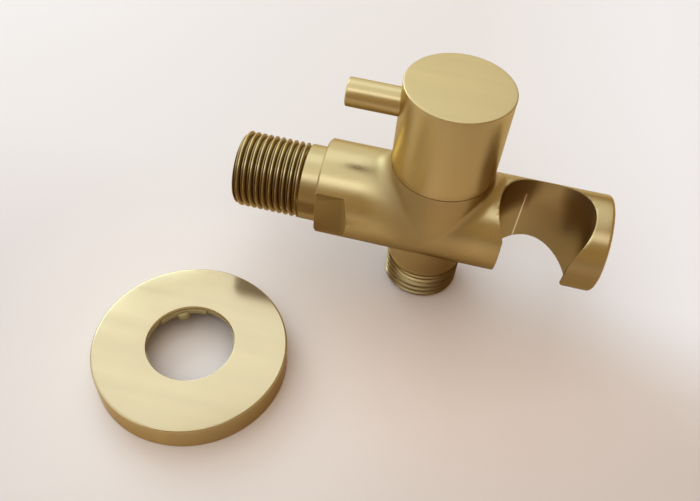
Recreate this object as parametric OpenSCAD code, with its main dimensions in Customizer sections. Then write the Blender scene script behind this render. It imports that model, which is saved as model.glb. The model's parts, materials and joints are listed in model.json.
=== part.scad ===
// Angle stop valve with a quarter-turn ceramic cartridge, a spray cradle and a loose wall escutcheon.
// The origin is the centre of the outlet's end face, +Z runs up the stem, and the inlet points to -X.

/* [Body] */
// Diameter of the round bar that the body is turned from
body_d = 26.3; // [25:0.1:29]
// Height of the bar's axis above the outlet's end
body_axis_z = 27.1; // [25:0.1:34]
// From the stem's axis to the shoulder at the inlet end
shoulder_x = 31; // [26:0.5:50]
// Chamfer on the shoulder
shoulder_chamfer = 0.5; // [0.2:0.1:1]
// Rise of the turret's top above the bar
turret_rise = 2.85; // [2:0.05:6]
// How far inside the bar's side the foot of the drafted turret starts
turret_sink = 0.25; // [0.1:0.05:0.5]
// How far each wrench flat stands proud of the neck
flat_proud = 0.52; // [0.3:0.01:1]
// Length of the wrench flats from the shoulder
flat_l = 9.2; // [5:0.1:14]
// Diameter of the milling cutter that leaves the flats' round ends
flat_cutter_d = 40; // [32:1:60]

/* [Pipe threads] */
// Crest diameter of the G 1/2 pipe thread
thread_d = 20.955; // [20:0.005:21.2]
// Pitch of the pipe thread
thread_pitch = 1.814; // [1.5:0.001:2]
// Depth of the pipe thread
thread_depth = 1.162; // [0.9:0.001:1.3]
// Width of the flat land left on each crest
thread_land = 0.42; // [0.3:0.01:0.6]
// Length of the inlet's thread
inlet_thread_l = 18.9; // [12:0.1:30]
// Length of the plain neck between the shoulder and the inlet's thread
neck_l = 4.75; // [3:0.05:12]
// Length of the outlet's thread
outlet_thread_l = 11.8; // [8:0.1:13]
// How far a plain collar or a cartridge's crests lie below the pipe thread's crests
crest_relief = 0.25; // [0.2:0.01:0.4]

/* [Waterway] */
// Bore of the inlet passage
inlet_bore_d = 10; // [8:0.1:11]
// Diameter of the counterbore that holds the strainer
strainer_seat_d = 15; // [14:0.1:16]
// Depth of the strainer's counterbore
strainer_seat_l = 9; // [8:0.1:12]
// Bore of the outlet nipple below its throat
outlet_bore_d = 12; // [11:0.1:12.5]
// How far the throat's edge lies inside the seal's bore
throat_step = 0.2; // [0.1:0.05:0.6]
// Height of the throat's wall below the seat
throat_l = 5.4; // [4:0.1:8]
// How far the nipple's upper thread, which screws into the body, lies inside the seal's edge
nipple_step = 0.8; // [0.4:0.1:1.5]
// Length of the nipple's upper thread
nipple_thread_l = 3.6; // [3:0.1:5]
// Thickness of the nipple's gasket
gasket_t = 0.8; // [0.5:0.1:1.2]
// How far the nipple's shoulder is hidden inside the bar
nipple_cover = 0.45; // [0.3:0.05:1]

/* [Cradle] */
// Bore of the cradle that a hand spray hangs in
cradle_d = 24.1; // [20:0.1:26]
// Width of the cradle's mouth
mouth_w = 17.5; // [12:0.1:19]
// How far the mouth lies off the bore's centre, towards the stem
mouth_shift = 0.45; // [0:0.05:1]
// Bar left between the turret and the cradle's bore
cradle_land = 2.65; // [2:0.05:8]
// How far the cradle's axis lies in front of the bar's axis
cradle_shift = 4.5; // [3:0.1:6]
// Wall between the cradle's bore and the end of the bar
cradle_wall = 5; // [3.5:0.1:8]
// Rounding of the bar's end at the cradle
end_round = 0.9; // [0.5:0.1:3]

/* [Knob] */
// Thickness of the knob's skirt, which with the cartridge's flange sets the knob's diameter
skirt_t = 1.5; // [1.2:0.1:3]
// Height of the knob
knob_h = 24.2; // [21.5:0.1:32]
// Running gap between the turret's top and the knob
knob_gap = 0.3; // [0.2:0.05:0.8]
// Rounding of the knob's top edge
knob_edge = 0.5; // [0.3:0.1:1]
// Diameter of the lever pin
pin_d = 7.2; // [5:0.1:9]
// Length of the lever pin outside the knob
pin_l = 13.05; // [6:0.05:45]
// Depth of the lever pin's axis below the knob's top
pin_drop = 7.7; // [6:0.1:9]
// How deep the lever pin's foot is let into the knob's side
pin_sunk = 0.6; // [0.4:0.1:1.5]
// Diameter of the lever pin's threaded stud
stud_d = 5; // [3:0.1:6]
// Diameter of the grub screw that locks the knob
grub_d = 4; // [3:0.1:5]
// How deep the grub screw's head lies below the knob's side
grub_recess = 0.9; // [0.2:0.1:3]
// Outer diameter of the splined sleeve inside the knob
adapter_d = 12.8; // [11:0.1:13.5]

/* [Cartridge] */
// Radial gap between the thread's root and the cartridge's lower tube
tube_relief = 0.12; // [0.05:0.01:0.3]
// Wall of the lower tube
tube_wall = 0.8; // [0.6:0.05:1.2]
// Radial gap between the tube and its chamber in the body
chamber_gap = 0.3; // [0.2:0.05:0.6]
// Width of the ledge on which the flange overlaps the turret, outside the O-ring's recess
flange_lip = 0.37; // [0.1:0.01:0.6]
// Thickness of that flange
flange_t = 1.5; // [1:0.1:2]
// How far the hexagon's corners lie inside the flange's edge
hex_step = 0.73; // [0.3:0.01:2]
// Height of the hexagon
hex_h = 4; // [3:0.1:5]
// Diameter of the collar above the hexagon
collar_d = 14; // [12:0.1:16]
// Height of that collar
collar_h = 2; // [1:0.1:3]
// Length of the cartridge's thread in the turret
cartridge_thread_l = 6.4; // [5:0.1:6.8]
// Thickness of each ceramic disc
disc_t = 2.6; // [2:0.1:2.8]
// Radial gap between the fixed ceramic disc and the tube
fixed_disc_gap = 0.1; // [0.05:0.05:0.3]
// Radial gap between the rotating ceramic disc and the tube
rotor_gap = 0.4; // [0.2:0.05:0.8]
// Rim of the rotating disc outside its ports
port_rim = 1.8; // [1.2:0.1:2.5]
// Radius of the solid middle of the discs
port_core = 2.2; // [1.5:0.1:3]
// Angle that each port covers
port_angle = 66; // [40:1:80]
// Height of the rubber seal on the seat
seal_h = 2; // [1.5:0.1:2.2]
// Width of the seal's section
seal_w = 3.1; // [2.4:0.1:3.6]
// Width of the stiffening ring inside the seal
stiffener_w = 1.1; // [0.8:0.1:1.6]
// Height of the cartridge's side windows
window_h = 3.2; // [2.5:0.1:3.5]
// Width of the side windows
window_w = 12; // [8:0.5:13]
// Diameter of the spindle in its bore
spindle_d = 9; // [8:0.1:9.6]
// Radial gap between the spindle's foot and the tube
foot_gap = 0.6; // [0.3:0.05:1]
// Thickness of the foot flange
foot_t = 1.4; // [1.2:0.1:1.6]
// Thickness of the thrust washer
washer_t = 0.5; // [0.3:0.1:0.7]
// Width of the bar that drives the rotating disc
driver_w = 4; // [3:0.1:5]
// How deep the driver's prongs grip the rotating disc's rim
prong_grip = 2; // [1:0.1:2.5]
// Crest diameter of the splined end
spline_d = 7.9; // [7:0.1:8.2]
// Depth of the spline's serrations
spline_depth = 0.45; // [0.3:0.05:0.5]
// Length of the splined end
spline_l = 9; // [8:0.1:9.5]
// Number of teeth on the spline
spline_teeth = 20; // [16:1:24]
// Section of the spindle's O-rings
ring_section = 0.96; // [0.8:0.02:1.0]
// Section of the O-ring under the cartridge's flange
flange_ring_section = 1; // [0.8:0.1:1]
// Thickness of the retaining clip
clip_t = 0.8; // [0.5:0.1:1]
// Outer diameter of the retaining clip
clip_d = 12.4; // [11:0.1:13]

/* [Escutcheon] */
// Outer diameter of the escutcheon
escutcheon_d = 50; // [40:0.5:70]
// Height of the escutcheon
escutcheon_h = 8.2; // [7.5:0.1:15]
// Wall of the escutcheon's shell
escutcheon_wall = 1.2; // [0.8:0.1:1.5]
// Radial gap between the inlet's thread and the escutcheon's hole
hole_gap = 0.85; // [0.5:0.01:2]
// Rounding of the escutcheon's outer edge
escutcheon_round = 0.6; // [0.3:0.1:2]
// Wall of the socket that holds the grip ring
socket_wall = 0.8; // [0.6:0.1:1.2]
// Height of the grip ring and of its socket
grip_h = 1.5; // [1:0.1:4]
// Width of the grip ring's section behind the hole's edge
grip_band = 1.7; // [1.2:0.1:2.5]
// How far the three grip pads reach inside the hole's edge
pad_reach = 0.4; // [0.2:0.1:0.8]
// Angle that each grip pad covers
pad_angle = 66; // [30:1:80]
// Radius of the nub on the first pad
nub_r = 1.95; // [1.2:0.05:2.2]
// How far the nub reaches inside the hole's edge
nub_reach = 1.55; // [0.6:0.05:2]
// Height of the nub
nub_h = 1.8; // [1:0.1:2.4]
// How far the nub hangs below the grip ring
nub_drop = 0.9; // [0:0.1:1.5]
// Direction of the nub from the escutcheon's centre
nub_direction = 122; // [0:1:360]
// Place of the escutcheon's centre, along and across the body
escutcheon_place = [-53.65, -47.55];

/* [Clearances] */
// Radial gap between parts that are fixed together
fixed_gap = 0.05; // [0.02:0.01:0.1]
// Gap between faces and shafts that run on each other
running_gap = 0.05; // [0.02:0.01:0.1]
// Radial gap between the knob's skirt and the cartridge's flange
skirt_gap = 0.3; // [0.2:0.05:0.8]

/* [Hidden] */
$fn = 96;

brushed_brass = [0.78, 0.66, 0.40];
raw_brass = [0.72, 0.58, 0.30];
steel = [0.72, 0.73, 0.74];
ceramic = [0.93, 0.92, 0.88];
black_rubber = [0.09, 0.09, 0.09];
white_plastic = [0.90, 0.90, 0.87];
clear_rubber = [0.88, 0.82, 0.62];

cut = 0.5;                      // overrun of a cut past the face it opens
body_r = body_d / 2;
thread_r = thread_d / 2;
root_r = thread_r - thread_depth;
collar_r = thread_r - crest_relief;
turret_top_z = body_axis_z + body_r + turret_rise;
neck_end_x = shoulder_x + neck_l;
inlet_end_x = neck_end_x + inlet_thread_l;
flat_y = thread_r + flat_proud;

// The O-ring's recess, the flange over it and the knob's skirt lie round the cartridge's thread
seat_spare = 0.05;              // room left outside the O-ring in its recess
ring_seat_r = collar_r + fixed_gap;
recess_r = ring_seat_r + flange_ring_section + seat_spare;
flange_r = recess_r + flange_lip;
hex_r = flange_r - hex_step;
cavity_r = flange_r + skirt_gap;
knob_r = cavity_r + skirt_t;

// The cradle stands beside the turret
cradle_r = cradle_d / 2;
cradle_x = knob_r + cradle_land + cradle_r;
bar_end_x = cradle_x + cradle_r + cradle_wall;

// The cartridge's tube, and what turns inside it
tube_r = root_r - tube_relief;
chamber_r = tube_r + chamber_gap;
tube_bore_r = tube_r - tube_wall;
fixed_disc_r = tube_bore_r - fixed_disc_gap;
rotor_r = tube_bore_r - rotor_gap;
port_r = rotor_r - port_rim;
foot_r = tube_bore_r - foot_gap;

// The nipple's shoulder lies just above the line where its collar leaves the round bar
collar_line_z = body_axis_z - sqrt(pow(body_r, 2) - pow(collar_r, 2));
shoulder_z = round(100 * (collar_line_z + nipple_cover)) / 100;
gasket_top_z = shoulder_z + gasket_t;
seat_z = gasket_top_z + nipple_thread_l;

// The cartridge's inner pieces are stacked on the seat
seal_top_z = seat_z + seal_h;
rotor_z = seal_top_z + disc_t + running_gap;
rotor_top_z = rotor_z + disc_t;
foot_z = rotor_top_z + window_h;
foot_top_z = foot_z + foot_t;
washer_z = foot_top_z + running_gap;
ceiling_z = washer_z + washer_t + running_gap;
tube_foot_z = seat_z + 0.5;

// The cartridge hangs from the turret's top by its flange
recess_depth = flange_ring_section + 0.2;
recess_z = turret_top_z - recess_depth;
thread_foot_z = recess_z - cartridge_thread_l;
flange_top_z = turret_top_z + flange_t;
hex_top_z = flange_top_z + hex_h;
collar_top_z = hex_top_z + collar_h;

// Above the collar: the clip, then the spline inside the knob's sleeve
clip_z = collar_top_z + running_gap;
clip_top_z = clip_z + clip_t;
spline_z = clip_top_z + 0.4;
spline_top_z = spline_z + spline_l;
knob_z = turret_top_z + knob_gap;
knob_top_z = knob_z + knob_h;
end_gap = 0.3;                  // room past the end of the spline and of the sleeve
knob_cavity_z = clip_top_z + 2 * end_gap;
adapter_z = knob_cavity_z + end_gap;
adapter_top_z = spline_top_z + 1.1;
adapter_r = adapter_d / 2;
pin_z = knob_top_z - pin_drop;
pin_seat_x = sqrt(pow(knob_r, 2) - pow(pin_d / 2, 2)) - pin_sunk;
stud_web = 0.9;                 // wall between the stud's hole and the sleeve's
stud_tip_x = adapter_r + fixed_gap + stud_web;
grub_z = (knob_cavity_z + adapter_top_z) / 2 - 1;
grub_point_l = 0.6;
grub_point_d = grub_d - 2 * grub_point_l;
grub_socket_d = grub_d / 2 / cos(30);
grub_socket_l = 2.4;
grub_tip_y = spline_d / 2 + 2 * fixed_gap;
grub_l = knob_r - grub_recess - grub_tip_y;

// Grooves of the spindle
groove_r = spindle_d / 2 + running_gap - ring_section - 0.02;
groove_h = ring_section + 0.2;
ring_heights = [hex_top_z - 1, turret_top_z - 1];
clip_groove_r = spindle_d / 2 - 0.9;

// Key of the fixed disc, and the driver's tenon and prongs
key_w = 2.4;
prong_w = 2.4;
prong_h = 1.2;
notch_depth = prong_h + 0.1;
tenon_h = 0.7;
driver_step = 0.2;              // how far the driver's ends lie inside the spindle's foot
washer_gap = 0.15;

// The seat's seal is stiffened by a ring inside it
seal_lip = 0.5;
seal_bore_r = fixed_disc_r - seal_w;
stiffener_r = seal_bore_r + stiffener_w;
throat_r = seal_bore_r - throat_step;
nipple_r = fixed_disc_r - nipple_step;

// Strainer cup and its rim
cup_r = inlet_bore_d / 2 - 0.5;
cup_wall = 0.4;
cup_l = strainer_seat_l + 4;
cup_collar_r = strainer_seat_d / 2 - 0.6;
mesh_w = 1.4;                   // width of the cup's holes and slots
mesh_land = 1.2;                // plain band left at both ends of the slots
rim_t = 1.6;
strainer_face = 0.8;            // how far the strainer sits inside the inlet's mouth

// Thread form: 55 degrees between the flanks, with a chamfered lead-in at the free end
thread_flank = thread_depth * tan(55 / 2);
lead_depth = 0.8 * thread_depth;
lead_l = 0.5 * thread_depth;
first_crest = 0.4 * thread_pitch;

// The escutcheon's hole clears the inlet's thread
hole_r = thread_r + hole_gap;
roof_z = escutcheon_h - escutcheon_wall;
band_step = 0.2;                // how far the band lies behind the pads, inside and outside

// A ring between two radii, standing on z
module ring(outer_r, inner_r, z, h) {
    translate([0, 0, z]) difference() {
        cylinder(r = outer_r, h = h);
        translate([0, 0, -cut]) cylinder(r = inner_r, h = h + 2 * cut);
    }
}

// An O-ring that fills a groove from inner_r outwards, centred on z
module o_ring(inner_r, section, z) {
    translate([0, 0, z])
        rotate_extrude() translate([inner_r + section / 2, 0]) circle(d = section);
}

// A slice of a disc that covers an angle, centred on +X
module slice(r, angle, h) {
    reach = 2 * r;
    linear_extrude(height = h)
        polygon([
            [0, 0],
            [reach * cos(angle / 2), -reach * sin(angle / 2)],
            [reach * 1.5, 0],
            [reach * cos(angle / 2), reach * sin(angle / 2)]
        ]);
}

// One turn of the thread's outline: root, flank, land, flank
function thread_turn(crest_r, z) = [
    [crest_r - thread_depth, z - thread_land / 2 - thread_flank],
    [crest_r, z - thread_land / 2],
    [crest_r, z + thread_land / 2],
    [crest_r - thread_depth, z + thread_land / 2 + thread_flank]
];

// A male thread as closed ridges a pitch apart, from its chamfered free end at z = 0 up to z = l
module thread_bar(crest_r, l) {
    turns = ceil(l / thread_pitch);
    outline = [for (i = [-1:turns]) for (p = thread_turn(crest_r, first_crest + i * thread_pitch)) p];
    intersection() {
        union() {
            cylinder(r1 = crest_r - lead_depth, r2 = crest_r, h = lead_l);
            translate([0, 0, lead_l]) cylinder(r = crest_r, h = l - lead_l);
        }
        rotate_extrude()
            polygon(concat(
                [[0, -2 * thread_pitch], [crest_r - thread_depth, -2 * thread_pitch]],
                outline,
                [[crest_r - thread_depth, l + 2 * thread_pitch], [0, l + 2 * thread_pitch]]
            ));
    }
}

// The round bar along X, chamfered at the shoulder and rounded at the cradle's end
module round_bar() {
    translate([-shoulder_x, 0, body_axis_z]) rotate([0, 90, 0]) {
        length = shoulder_x + bar_end_x;
        cylinder(r1 = body_r - shoulder_chamfer, r2 = body_r, h = shoulder_chamfer);
        translate([0, 0, shoulder_chamfer])
            cylinder(r = body_r, h = length - shoulder_chamfer - end_round);
        cylinder(r = body_r - end_round, h = length);
        translate([0, 0, length - end_round])
            rotate_extrude() translate([body_r - end_round, 0]) circle(r = end_round);
    }
}

// Wrench flats, front and back, with the round end that the cutter leaves
module wrench_flats() {
    for (side = [-1, 1])
        translate([-(shoulder_x - flat_l) - flat_cutter_d / 2, side * flat_y, body_axis_z])
            rotate([-90 * side, 0, 0])
                cylinder(d = flat_cutter_d, h = body_r);
}

// The cradle's bore and its mouth towards the front
module cradle_cut() {
    reach = body_r + cut;
    translate([cradle_x, -cradle_shift, body_axis_z - reach]) {
        cylinder(r = cradle_r, h = 2 * reach);
        translate([-mouth_shift - mouth_w / 2, -reach, 0])
            cube([mouth_w, reach, 2 * reach]);
    }
}

module valve_body() color(brushed_brass) {
    difference() {
        union() {
            round_bar();
            translate([0, 0, body_axis_z])
                cylinder(r1 = body_r - turret_sink, r2 = knob_r, h = turret_top_z - body_axis_z);
            translate([-neck_end_x, 0, body_axis_z]) rotate([0, 90, 0])
                cylinder(r = thread_r, h = neck_l + body_r);
            translate([-inlet_end_x, 0, body_axis_z]) rotate([0, 90, 0])
                thread_bar(thread_r, inlet_thread_l);
        }
        wrench_flats();
        cradle_cut();
        // Inlet passage and strainer seat
        translate([-inlet_end_x - cut, 0, body_axis_z]) rotate([0, 90, 0]) {
            cylinder(d = inlet_bore_d, h = inlet_end_x + cut - tube_bore_r);
            cylinder(d = strainer_seat_d, h = strainer_seat_l + cut);
        }
        // Chamber and thread for the cartridge, with the recess for its O-ring
        translate([0, 0, seat_z]) cylinder(r = chamber_r, h = turret_top_z - seat_z);
        translate([0, 0, thread_foot_z - cut])
            cylinder(r = collar_r + fixed_gap, h = turret_top_z - thread_foot_z);
        translate([0, 0, recess_z]) cylinder(r = recess_r, h = recess_depth + cut);
        // Thread and socket for the outlet nipple
        cylinder(r = collar_r + fixed_gap, h = gasket_top_z);
        translate([0, 0, shoulder_z])
            cylinder(r = nipple_r + fixed_gap, h = seat_z - shoulder_z + cut);
    }
}

module outlet_nipple() color(brushed_brass) {
    difference() {
        union() {
            thread_bar(thread_r, outlet_thread_l);
            translate([0, 0, outlet_thread_l]) cylinder(r = collar_r, h = shoulder_z - outlet_thread_l);
            cylinder(r = nipple_r, h = seat_z);
        }
        translate([0, 0, -cut]) {
            cylinder(r = throat_r, h = seat_z + 2 * cut);
            cylinder(d = outlet_bore_d, h = seat_z - throat_l + cut);
        }
    }
}

module nipple_gasket() color(black_rubber)
    ring(collar_r - fixed_gap, nipple_r + fixed_gap, shoulder_z, gasket_t);

// A slotted steel cup, open towards the supply, with a collar behind the rim
module strainer_mesh() color(steel) {
    slot_z = rim_t + cup_wall + mesh_land;
    translate([-inlet_end_x + strainer_face, 0, body_axis_z]) rotate([0, 90, 0])
        difference() {
            union() {
                cylinder(r = cup_r, h = cup_l);
                translate([0, 0, rim_t]) cylinder(r = cup_collar_r, h = cup_wall);
            }
            translate([0, 0, -cut]) cylinder(r = cup_r - cup_wall, h = cup_l - cup_wall + cut);
            for (i = [0:5])
                rotate([0, 0, 60 * i + 30])
                    translate([cup_r / 2, 0, 0]) cylinder(d = mesh_w, h = cup_l + cut);
            cylinder(d = mesh_w, h = cup_l + cut);
            for (i = [0:3])
                rotate([0, 0, 45 * i])
                    translate([-cup_r - cut, -mesh_w / 2, slot_z])
                        cube([2 * (cup_r + cut), mesh_w, cup_l - cup_wall - mesh_land - slot_z]);
        }
}

// The strainer's rim, snapped into the counterbore round the mesh
module strainer_rim() color(white_plastic)
    translate([-inlet_end_x + strainer_face, 0, body_axis_z]) rotate([0, 90, 0])
        ring(strainer_seat_d / 2 - fixed_gap, cup_r + fixed_gap, 0, rim_t);

module cartridge_housing() color(raw_brass) {
    difference() {
        union() {
            translate([0, 0, tube_foot_z]) cylinder(r = tube_r, h = turret_top_z - tube_foot_z);
            translate([0, 0, thread_foot_z]) thread_bar(collar_r, cartridge_thread_l);
            translate([0, 0, recess_z - cut])
                cylinder(r = root_r, h = turret_top_z - recess_z + 2 * cut);
            translate([0, 0, turret_top_z]) cylinder(r = flange_r, h = flange_t);
            translate([0, 0, flange_top_z]) cylinder(r = hex_r, h = hex_h, $fn = 6);
            translate([0, 0, hex_top_z]) cylinder(d = collar_d, h = collar_h);
        }
        translate([0, 0, tube_foot_z - cut])
            cylinder(r = tube_bore_r, h = ceiling_z - tube_foot_z + cut);
        translate([0, 0, seat_z])
            cylinder(d = spindle_d + 2 * running_gap, h = collar_top_z - seat_z + cut);
        // Side windows, above the rotating disc
        translate([-thread_d, -window_w / 2, rotor_top_z])
            cube([2 * thread_d, window_w, window_h]);
        // Slots that key the fixed disc
        translate([-key_w / 2 - fixed_gap, -thread_d, tube_foot_z - cut])
            cube([key_w + 2 * fixed_gap, 2 * thread_d, seal_top_z + disc_t - tube_foot_z + cut]);
    }
}

module housing_o_ring() color(black_rubber)
    o_ring(ring_seat_r, flange_ring_section, recess_z + recess_depth / 2);

module thrust_washer() color(white_plastic)
    ring(tube_bore_r - washer_gap, spindle_d / 2 + washer_gap, washer_z, washer_t);

// Two opposite ports of a ceramic disc, the first centred on +X
module ports(z) {
    for (turn = [0, 180])
        translate([0, 0, z - cut]) rotate([0, 0, turn]) intersection() {
            ring(port_r, port_core, 0, disc_t + 2 * cut);
            slice(port_r, port_angle, disc_t + 2 * cut);
        }
}

module fixed_disc() color(ceramic) {
    difference() {
        union() {
            translate([0, 0, seal_top_z]) cylinder(r = fixed_disc_r, h = disc_t);
            translate([-key_w / 2, -tube_r + fixed_disc_gap, seal_top_z])
                cube([key_w, 2 * (tube_r - fixed_disc_gap), disc_t]);
        }
        rotate([0, 0, 90]) ports(seal_top_z);
    }
}

module rotating_disc() color(ceramic) {
    difference() {
        translate([0, 0, rotor_z]) cylinder(r = rotor_r, h = disc_t);
        ports(rotor_z);
        // Notches for the driver's prongs
        for (turn = [0, 180])
            rotate([0, 0, turn])
                translate([-prong_w / 2 - running_gap, rotor_r - prong_grip, rotor_top_z - notch_depth])
                    cube([prong_w + 2 * running_gap, prong_grip + cut, notch_depth + cut]);
    }
}

// Rubber seal between the discs and the seat, stiffened from inside
module seat_seal() color(black_rubber) {
    difference() {
        ring(fixed_disc_r, seal_bore_r, seat_z, seal_h);
        ring(stiffener_r, seal_bore_r - cut, seat_z + seal_lip, seal_h - 2 * seal_lip);
    }
}

module seal_support_ring() color(white_plastic)
    ring(stiffener_r, seal_bore_r, seat_z + seal_lip, seal_h - 2 * seal_lip);

module knob() color(brushed_brass) {
    difference() {
        union() {
            translate([0, 0, knob_z]) cylinder(r = knob_r, h = knob_h - knob_edge);
            translate([0, 0, knob_z]) cylinder(r = knob_r - knob_edge, h = knob_h);
            translate([0, 0, knob_top_z - knob_edge])
                rotate_extrude() translate([knob_r - knob_edge, 0]) circle(r = knob_edge);
        }
        translate([0, 0, knob_z - cut]) cylinder(r = cavity_r, h = knob_cavity_z - knob_z + cut);
        translate([0, 0, knob_z]) cylinder(r = adapter_r + fixed_gap, h = adapter_top_z - knob_z);
        translate([-pin_seat_x, 0, pin_z]) rotate([0, -90, 0]) {
            cylinder(d = pin_d + 2 * fixed_gap, h = knob_r);
            rotate([180, 0, 0]) translate([0, 0, -cut])
                cylinder(d = stud_d + 2 * fixed_gap, h = pin_seat_x - stud_tip_x + cut);
        }
        translate([0, 0, grub_z]) rotate([-90, 0, 0]) cylinder(d = grub_d + 2 * fixed_gap, h = 2 * knob_r);
    }
}

module lever_pin() color(brushed_brass) {
    free_l = knob_r + pin_l - pin_seat_x;
    translate([-pin_seat_x, 0, pin_z]) rotate([0, -90, 0]) {
        cylinder(d = pin_d, h = free_l - knob_edge);
        cylinder(d = pin_d - 2 * knob_edge, h = free_l);
        translate([0, 0, free_l - knob_edge])
            rotate_extrude() translate([pin_d / 2 - knob_edge, 0]) circle(r = knob_edge);
        translate([0, 0, stud_tip_x - pin_seat_x + 2 * fixed_gap])
            cylinder(d = stud_d, h = pin_seat_x - stud_tip_x + cut);
    }
}

module knob_grub_screw() color(steel)
    translate([0, grub_tip_y, grub_z]) rotate([-90, 0, 0])
        difference() {
            union() {
                cylinder(d1 = grub_point_d, d2 = grub_d, h = grub_point_l);
                translate([0, 0, grub_point_l]) cylinder(d = grub_d, h = grub_l - grub_point_l);
            }
            translate([0, 0, grub_l - grub_socket_l])
                cylinder(d = grub_socket_d, h = grub_socket_l + cut, $fn = 6);
        }

// Serrated outline shared by the spindle and the sleeve, grown by a gap
module spline_outline(gap) {
    steps = 2 * spline_teeth;
    polygon([
        for (i = [0:steps - 1])
            let (r = spline_d / 2 + gap - (i % 2) * spline_depth)
            [r * cos(i * 360 / steps), r * sin(i * 360 / steps)]
    ]);
}

module spline_adapter() color(white_plastic) {
    difference() {
        translate([0, 0, adapter_z]) cylinder(r = adapter_r, h = adapter_top_z - adapter_z);
        translate([0, 0, adapter_z - cut])
            linear_extrude(height = spline_top_z + end_gap - adapter_z + cut) spline_outline(fixed_gap);
        translate([0, 0, grub_z]) rotate([-90, 0, 0]) cylinder(d = grub_d + 2 * fixed_gap, h = knob_r);
    }
}

module spindle() color(raw_brass) {
    difference() {
        union() {
            translate([0, 0, foot_z]) cylinder(r = foot_r, h = foot_t);
            translate([0, 0, foot_z]) cylinder(d = spindle_d, h = spline_z - foot_z);
            translate([0, 0, foot_z]) linear_extrude(height = spline_top_z - foot_z) spline_outline(0);
        }
        for (z = ring_heights)
            ring(spindle_d, groove_r, z - groove_h / 2, groove_h);
        ring(spindle_d, clip_groove_r, clip_z - running_gap, clip_t + 2 * running_gap);
        // Slot that takes the driver's tenon
        translate([-driver_w / 2 - fixed_gap, -tube_r, foot_z - cut])
            cube([driver_w + 2 * fixed_gap, 2 * tube_r, tenon_h + fixed_gap + cut]);
    }
}

module spindle_o_rings() color(black_rubber)
    for (z = ring_heights) o_ring(groove_r + 0.01, ring_section, z);

// An open ring that snaps into the spindle's upper groove
module spindle_clip() color(steel) {
    difference() {
        ring(clip_d / 2, clip_groove_r + fixed_gap, clip_z, clip_t);
        translate([-clip_groove_r, 0, clip_z - cut])
            cube([2 * clip_groove_r, clip_d, clip_t + 2 * cut]);
    }
}

module disc_driver() color(raw_brass) {
    intersection() {
        translate([0, 0, rotor_top_z - prong_h])
            cylinder(r = foot_r - driver_step, h = window_h + prong_h + tenon_h);
        union() {
            translate([-driver_w / 2, -tube_r, rotor_top_z + running_gap])
                cube([driver_w, 2 * tube_r, window_h + tenon_h - running_gap]);
            for (turn = [0, 180])
                rotate([0, 0, turn])
                    translate([-prong_w / 2, rotor_r - prong_grip + running_gap, rotor_top_z - prong_h])
                        cube([prong_w, prong_grip + cut, prong_h + window_h / 2]);
        }
    }
}

// A dished shell, open at its foot, with a socket for the grip ring behind the hole
module escutcheon_shell() color(brushed_brass) {
    r = escutcheon_d / 2;
    socket_r = hole_r + grip_band;
    translate([escutcheon_place[0], escutcheon_place[1], 0])
        difference() {
            union() {
                cylinder(r = r, h = escutcheon_h - escutcheon_round);
                cylinder(r = r - escutcheon_round, h = escutcheon_h);
                translate([0, 0, escutcheon_h - escutcheon_round])
                    rotate_extrude() translate([r - escutcheon_round, 0]) circle(r = escutcheon_round);
            }
            difference() {
                translate([0, 0, -cut]) cylinder(r = r - escutcheon_wall, h = roof_z + cut);
                ring(socket_r + socket_wall, socket_r, roof_z - grip_h, grip_h + cut);
            }
            translate([0, 0, -cut]) cylinder(r = hole_r, h = escutcheon_h + 2 * cut);
        }
}

// Grip ring with three thicker pads that bear on the pipe, the first with a nub
module escutcheon_grip_ring() color(clear_rubber) {
    band_r = hole_r + grip_band - fixed_gap;
    translate([escutcheon_place[0], escutcheon_place[1], roof_z - grip_h]) {
        ring(band_r, hole_r + band_step, 0, grip_h);
        for (i = [0:2])
            intersection() {
                ring(band_r - band_step, hole_r - pad_reach, 0, grip_h);
                rotate([0, 0, nub_direction + 120 * i]) slice(band_r, pad_angle, grip_h);
            }
        rotate([0, 0, nub_direction]) translate([hole_r - nub_reach + nub_r, 0, -nub_drop]) intersection() {
            cylinder(r = nub_r, h = nub_h);
            translate([-2 * nub_r, -2 * nub_r, -cut])
                cube([nub_reach + nub_r + grip_band - 2 * band_step, 4 * nub_r, nub_h + 2 * cut]);
        }
    }
}

valve_body();
outlet_nipple();
nipple_gasket();
strainer_mesh();
strainer_rim();
cartridge_housing();
housing_o_ring();
thrust_washer();
fixed_disc();
seat_seal();
seal_support_ring();
knob();
lever_pin();
knob_grub_screw();
spline_adapter();
spindle();
spindle_o_rings();
spindle_clip();
disc_driver();
rotating_disc();
escutcheon_shell();
escutcheon_grip_ring();
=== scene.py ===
"""Angle stop valve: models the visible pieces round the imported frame, finishes them and lights them."""

import json
from functools import reduce
from math import asin, atan2, ceil, cos, pi, radians, sin, sqrt, tan

import bmesh
import bpy
from bpy.props import FloatProperty, FloatVectorProperty, IntProperty, PointerProperty
from mathutils import Matrix, Vector


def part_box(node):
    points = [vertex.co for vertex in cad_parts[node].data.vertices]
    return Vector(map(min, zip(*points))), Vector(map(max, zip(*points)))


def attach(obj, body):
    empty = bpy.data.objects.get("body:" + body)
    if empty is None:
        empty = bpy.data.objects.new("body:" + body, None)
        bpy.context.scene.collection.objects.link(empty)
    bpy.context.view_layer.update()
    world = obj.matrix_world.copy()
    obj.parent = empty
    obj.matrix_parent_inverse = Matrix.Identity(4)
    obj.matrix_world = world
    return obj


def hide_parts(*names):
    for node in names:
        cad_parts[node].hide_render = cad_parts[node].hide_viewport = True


bl_info = {
    "name": "Angle Stop Valve",
    "version": (1, 0, 0),
    "blender": (4, 5, 0),
    "location": "View3D > Sidebar > Valve",
    "description": "Models and finishes an angle stop valve with a spray cradle and its escutcheon",
    "category": "Object",
}

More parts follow.
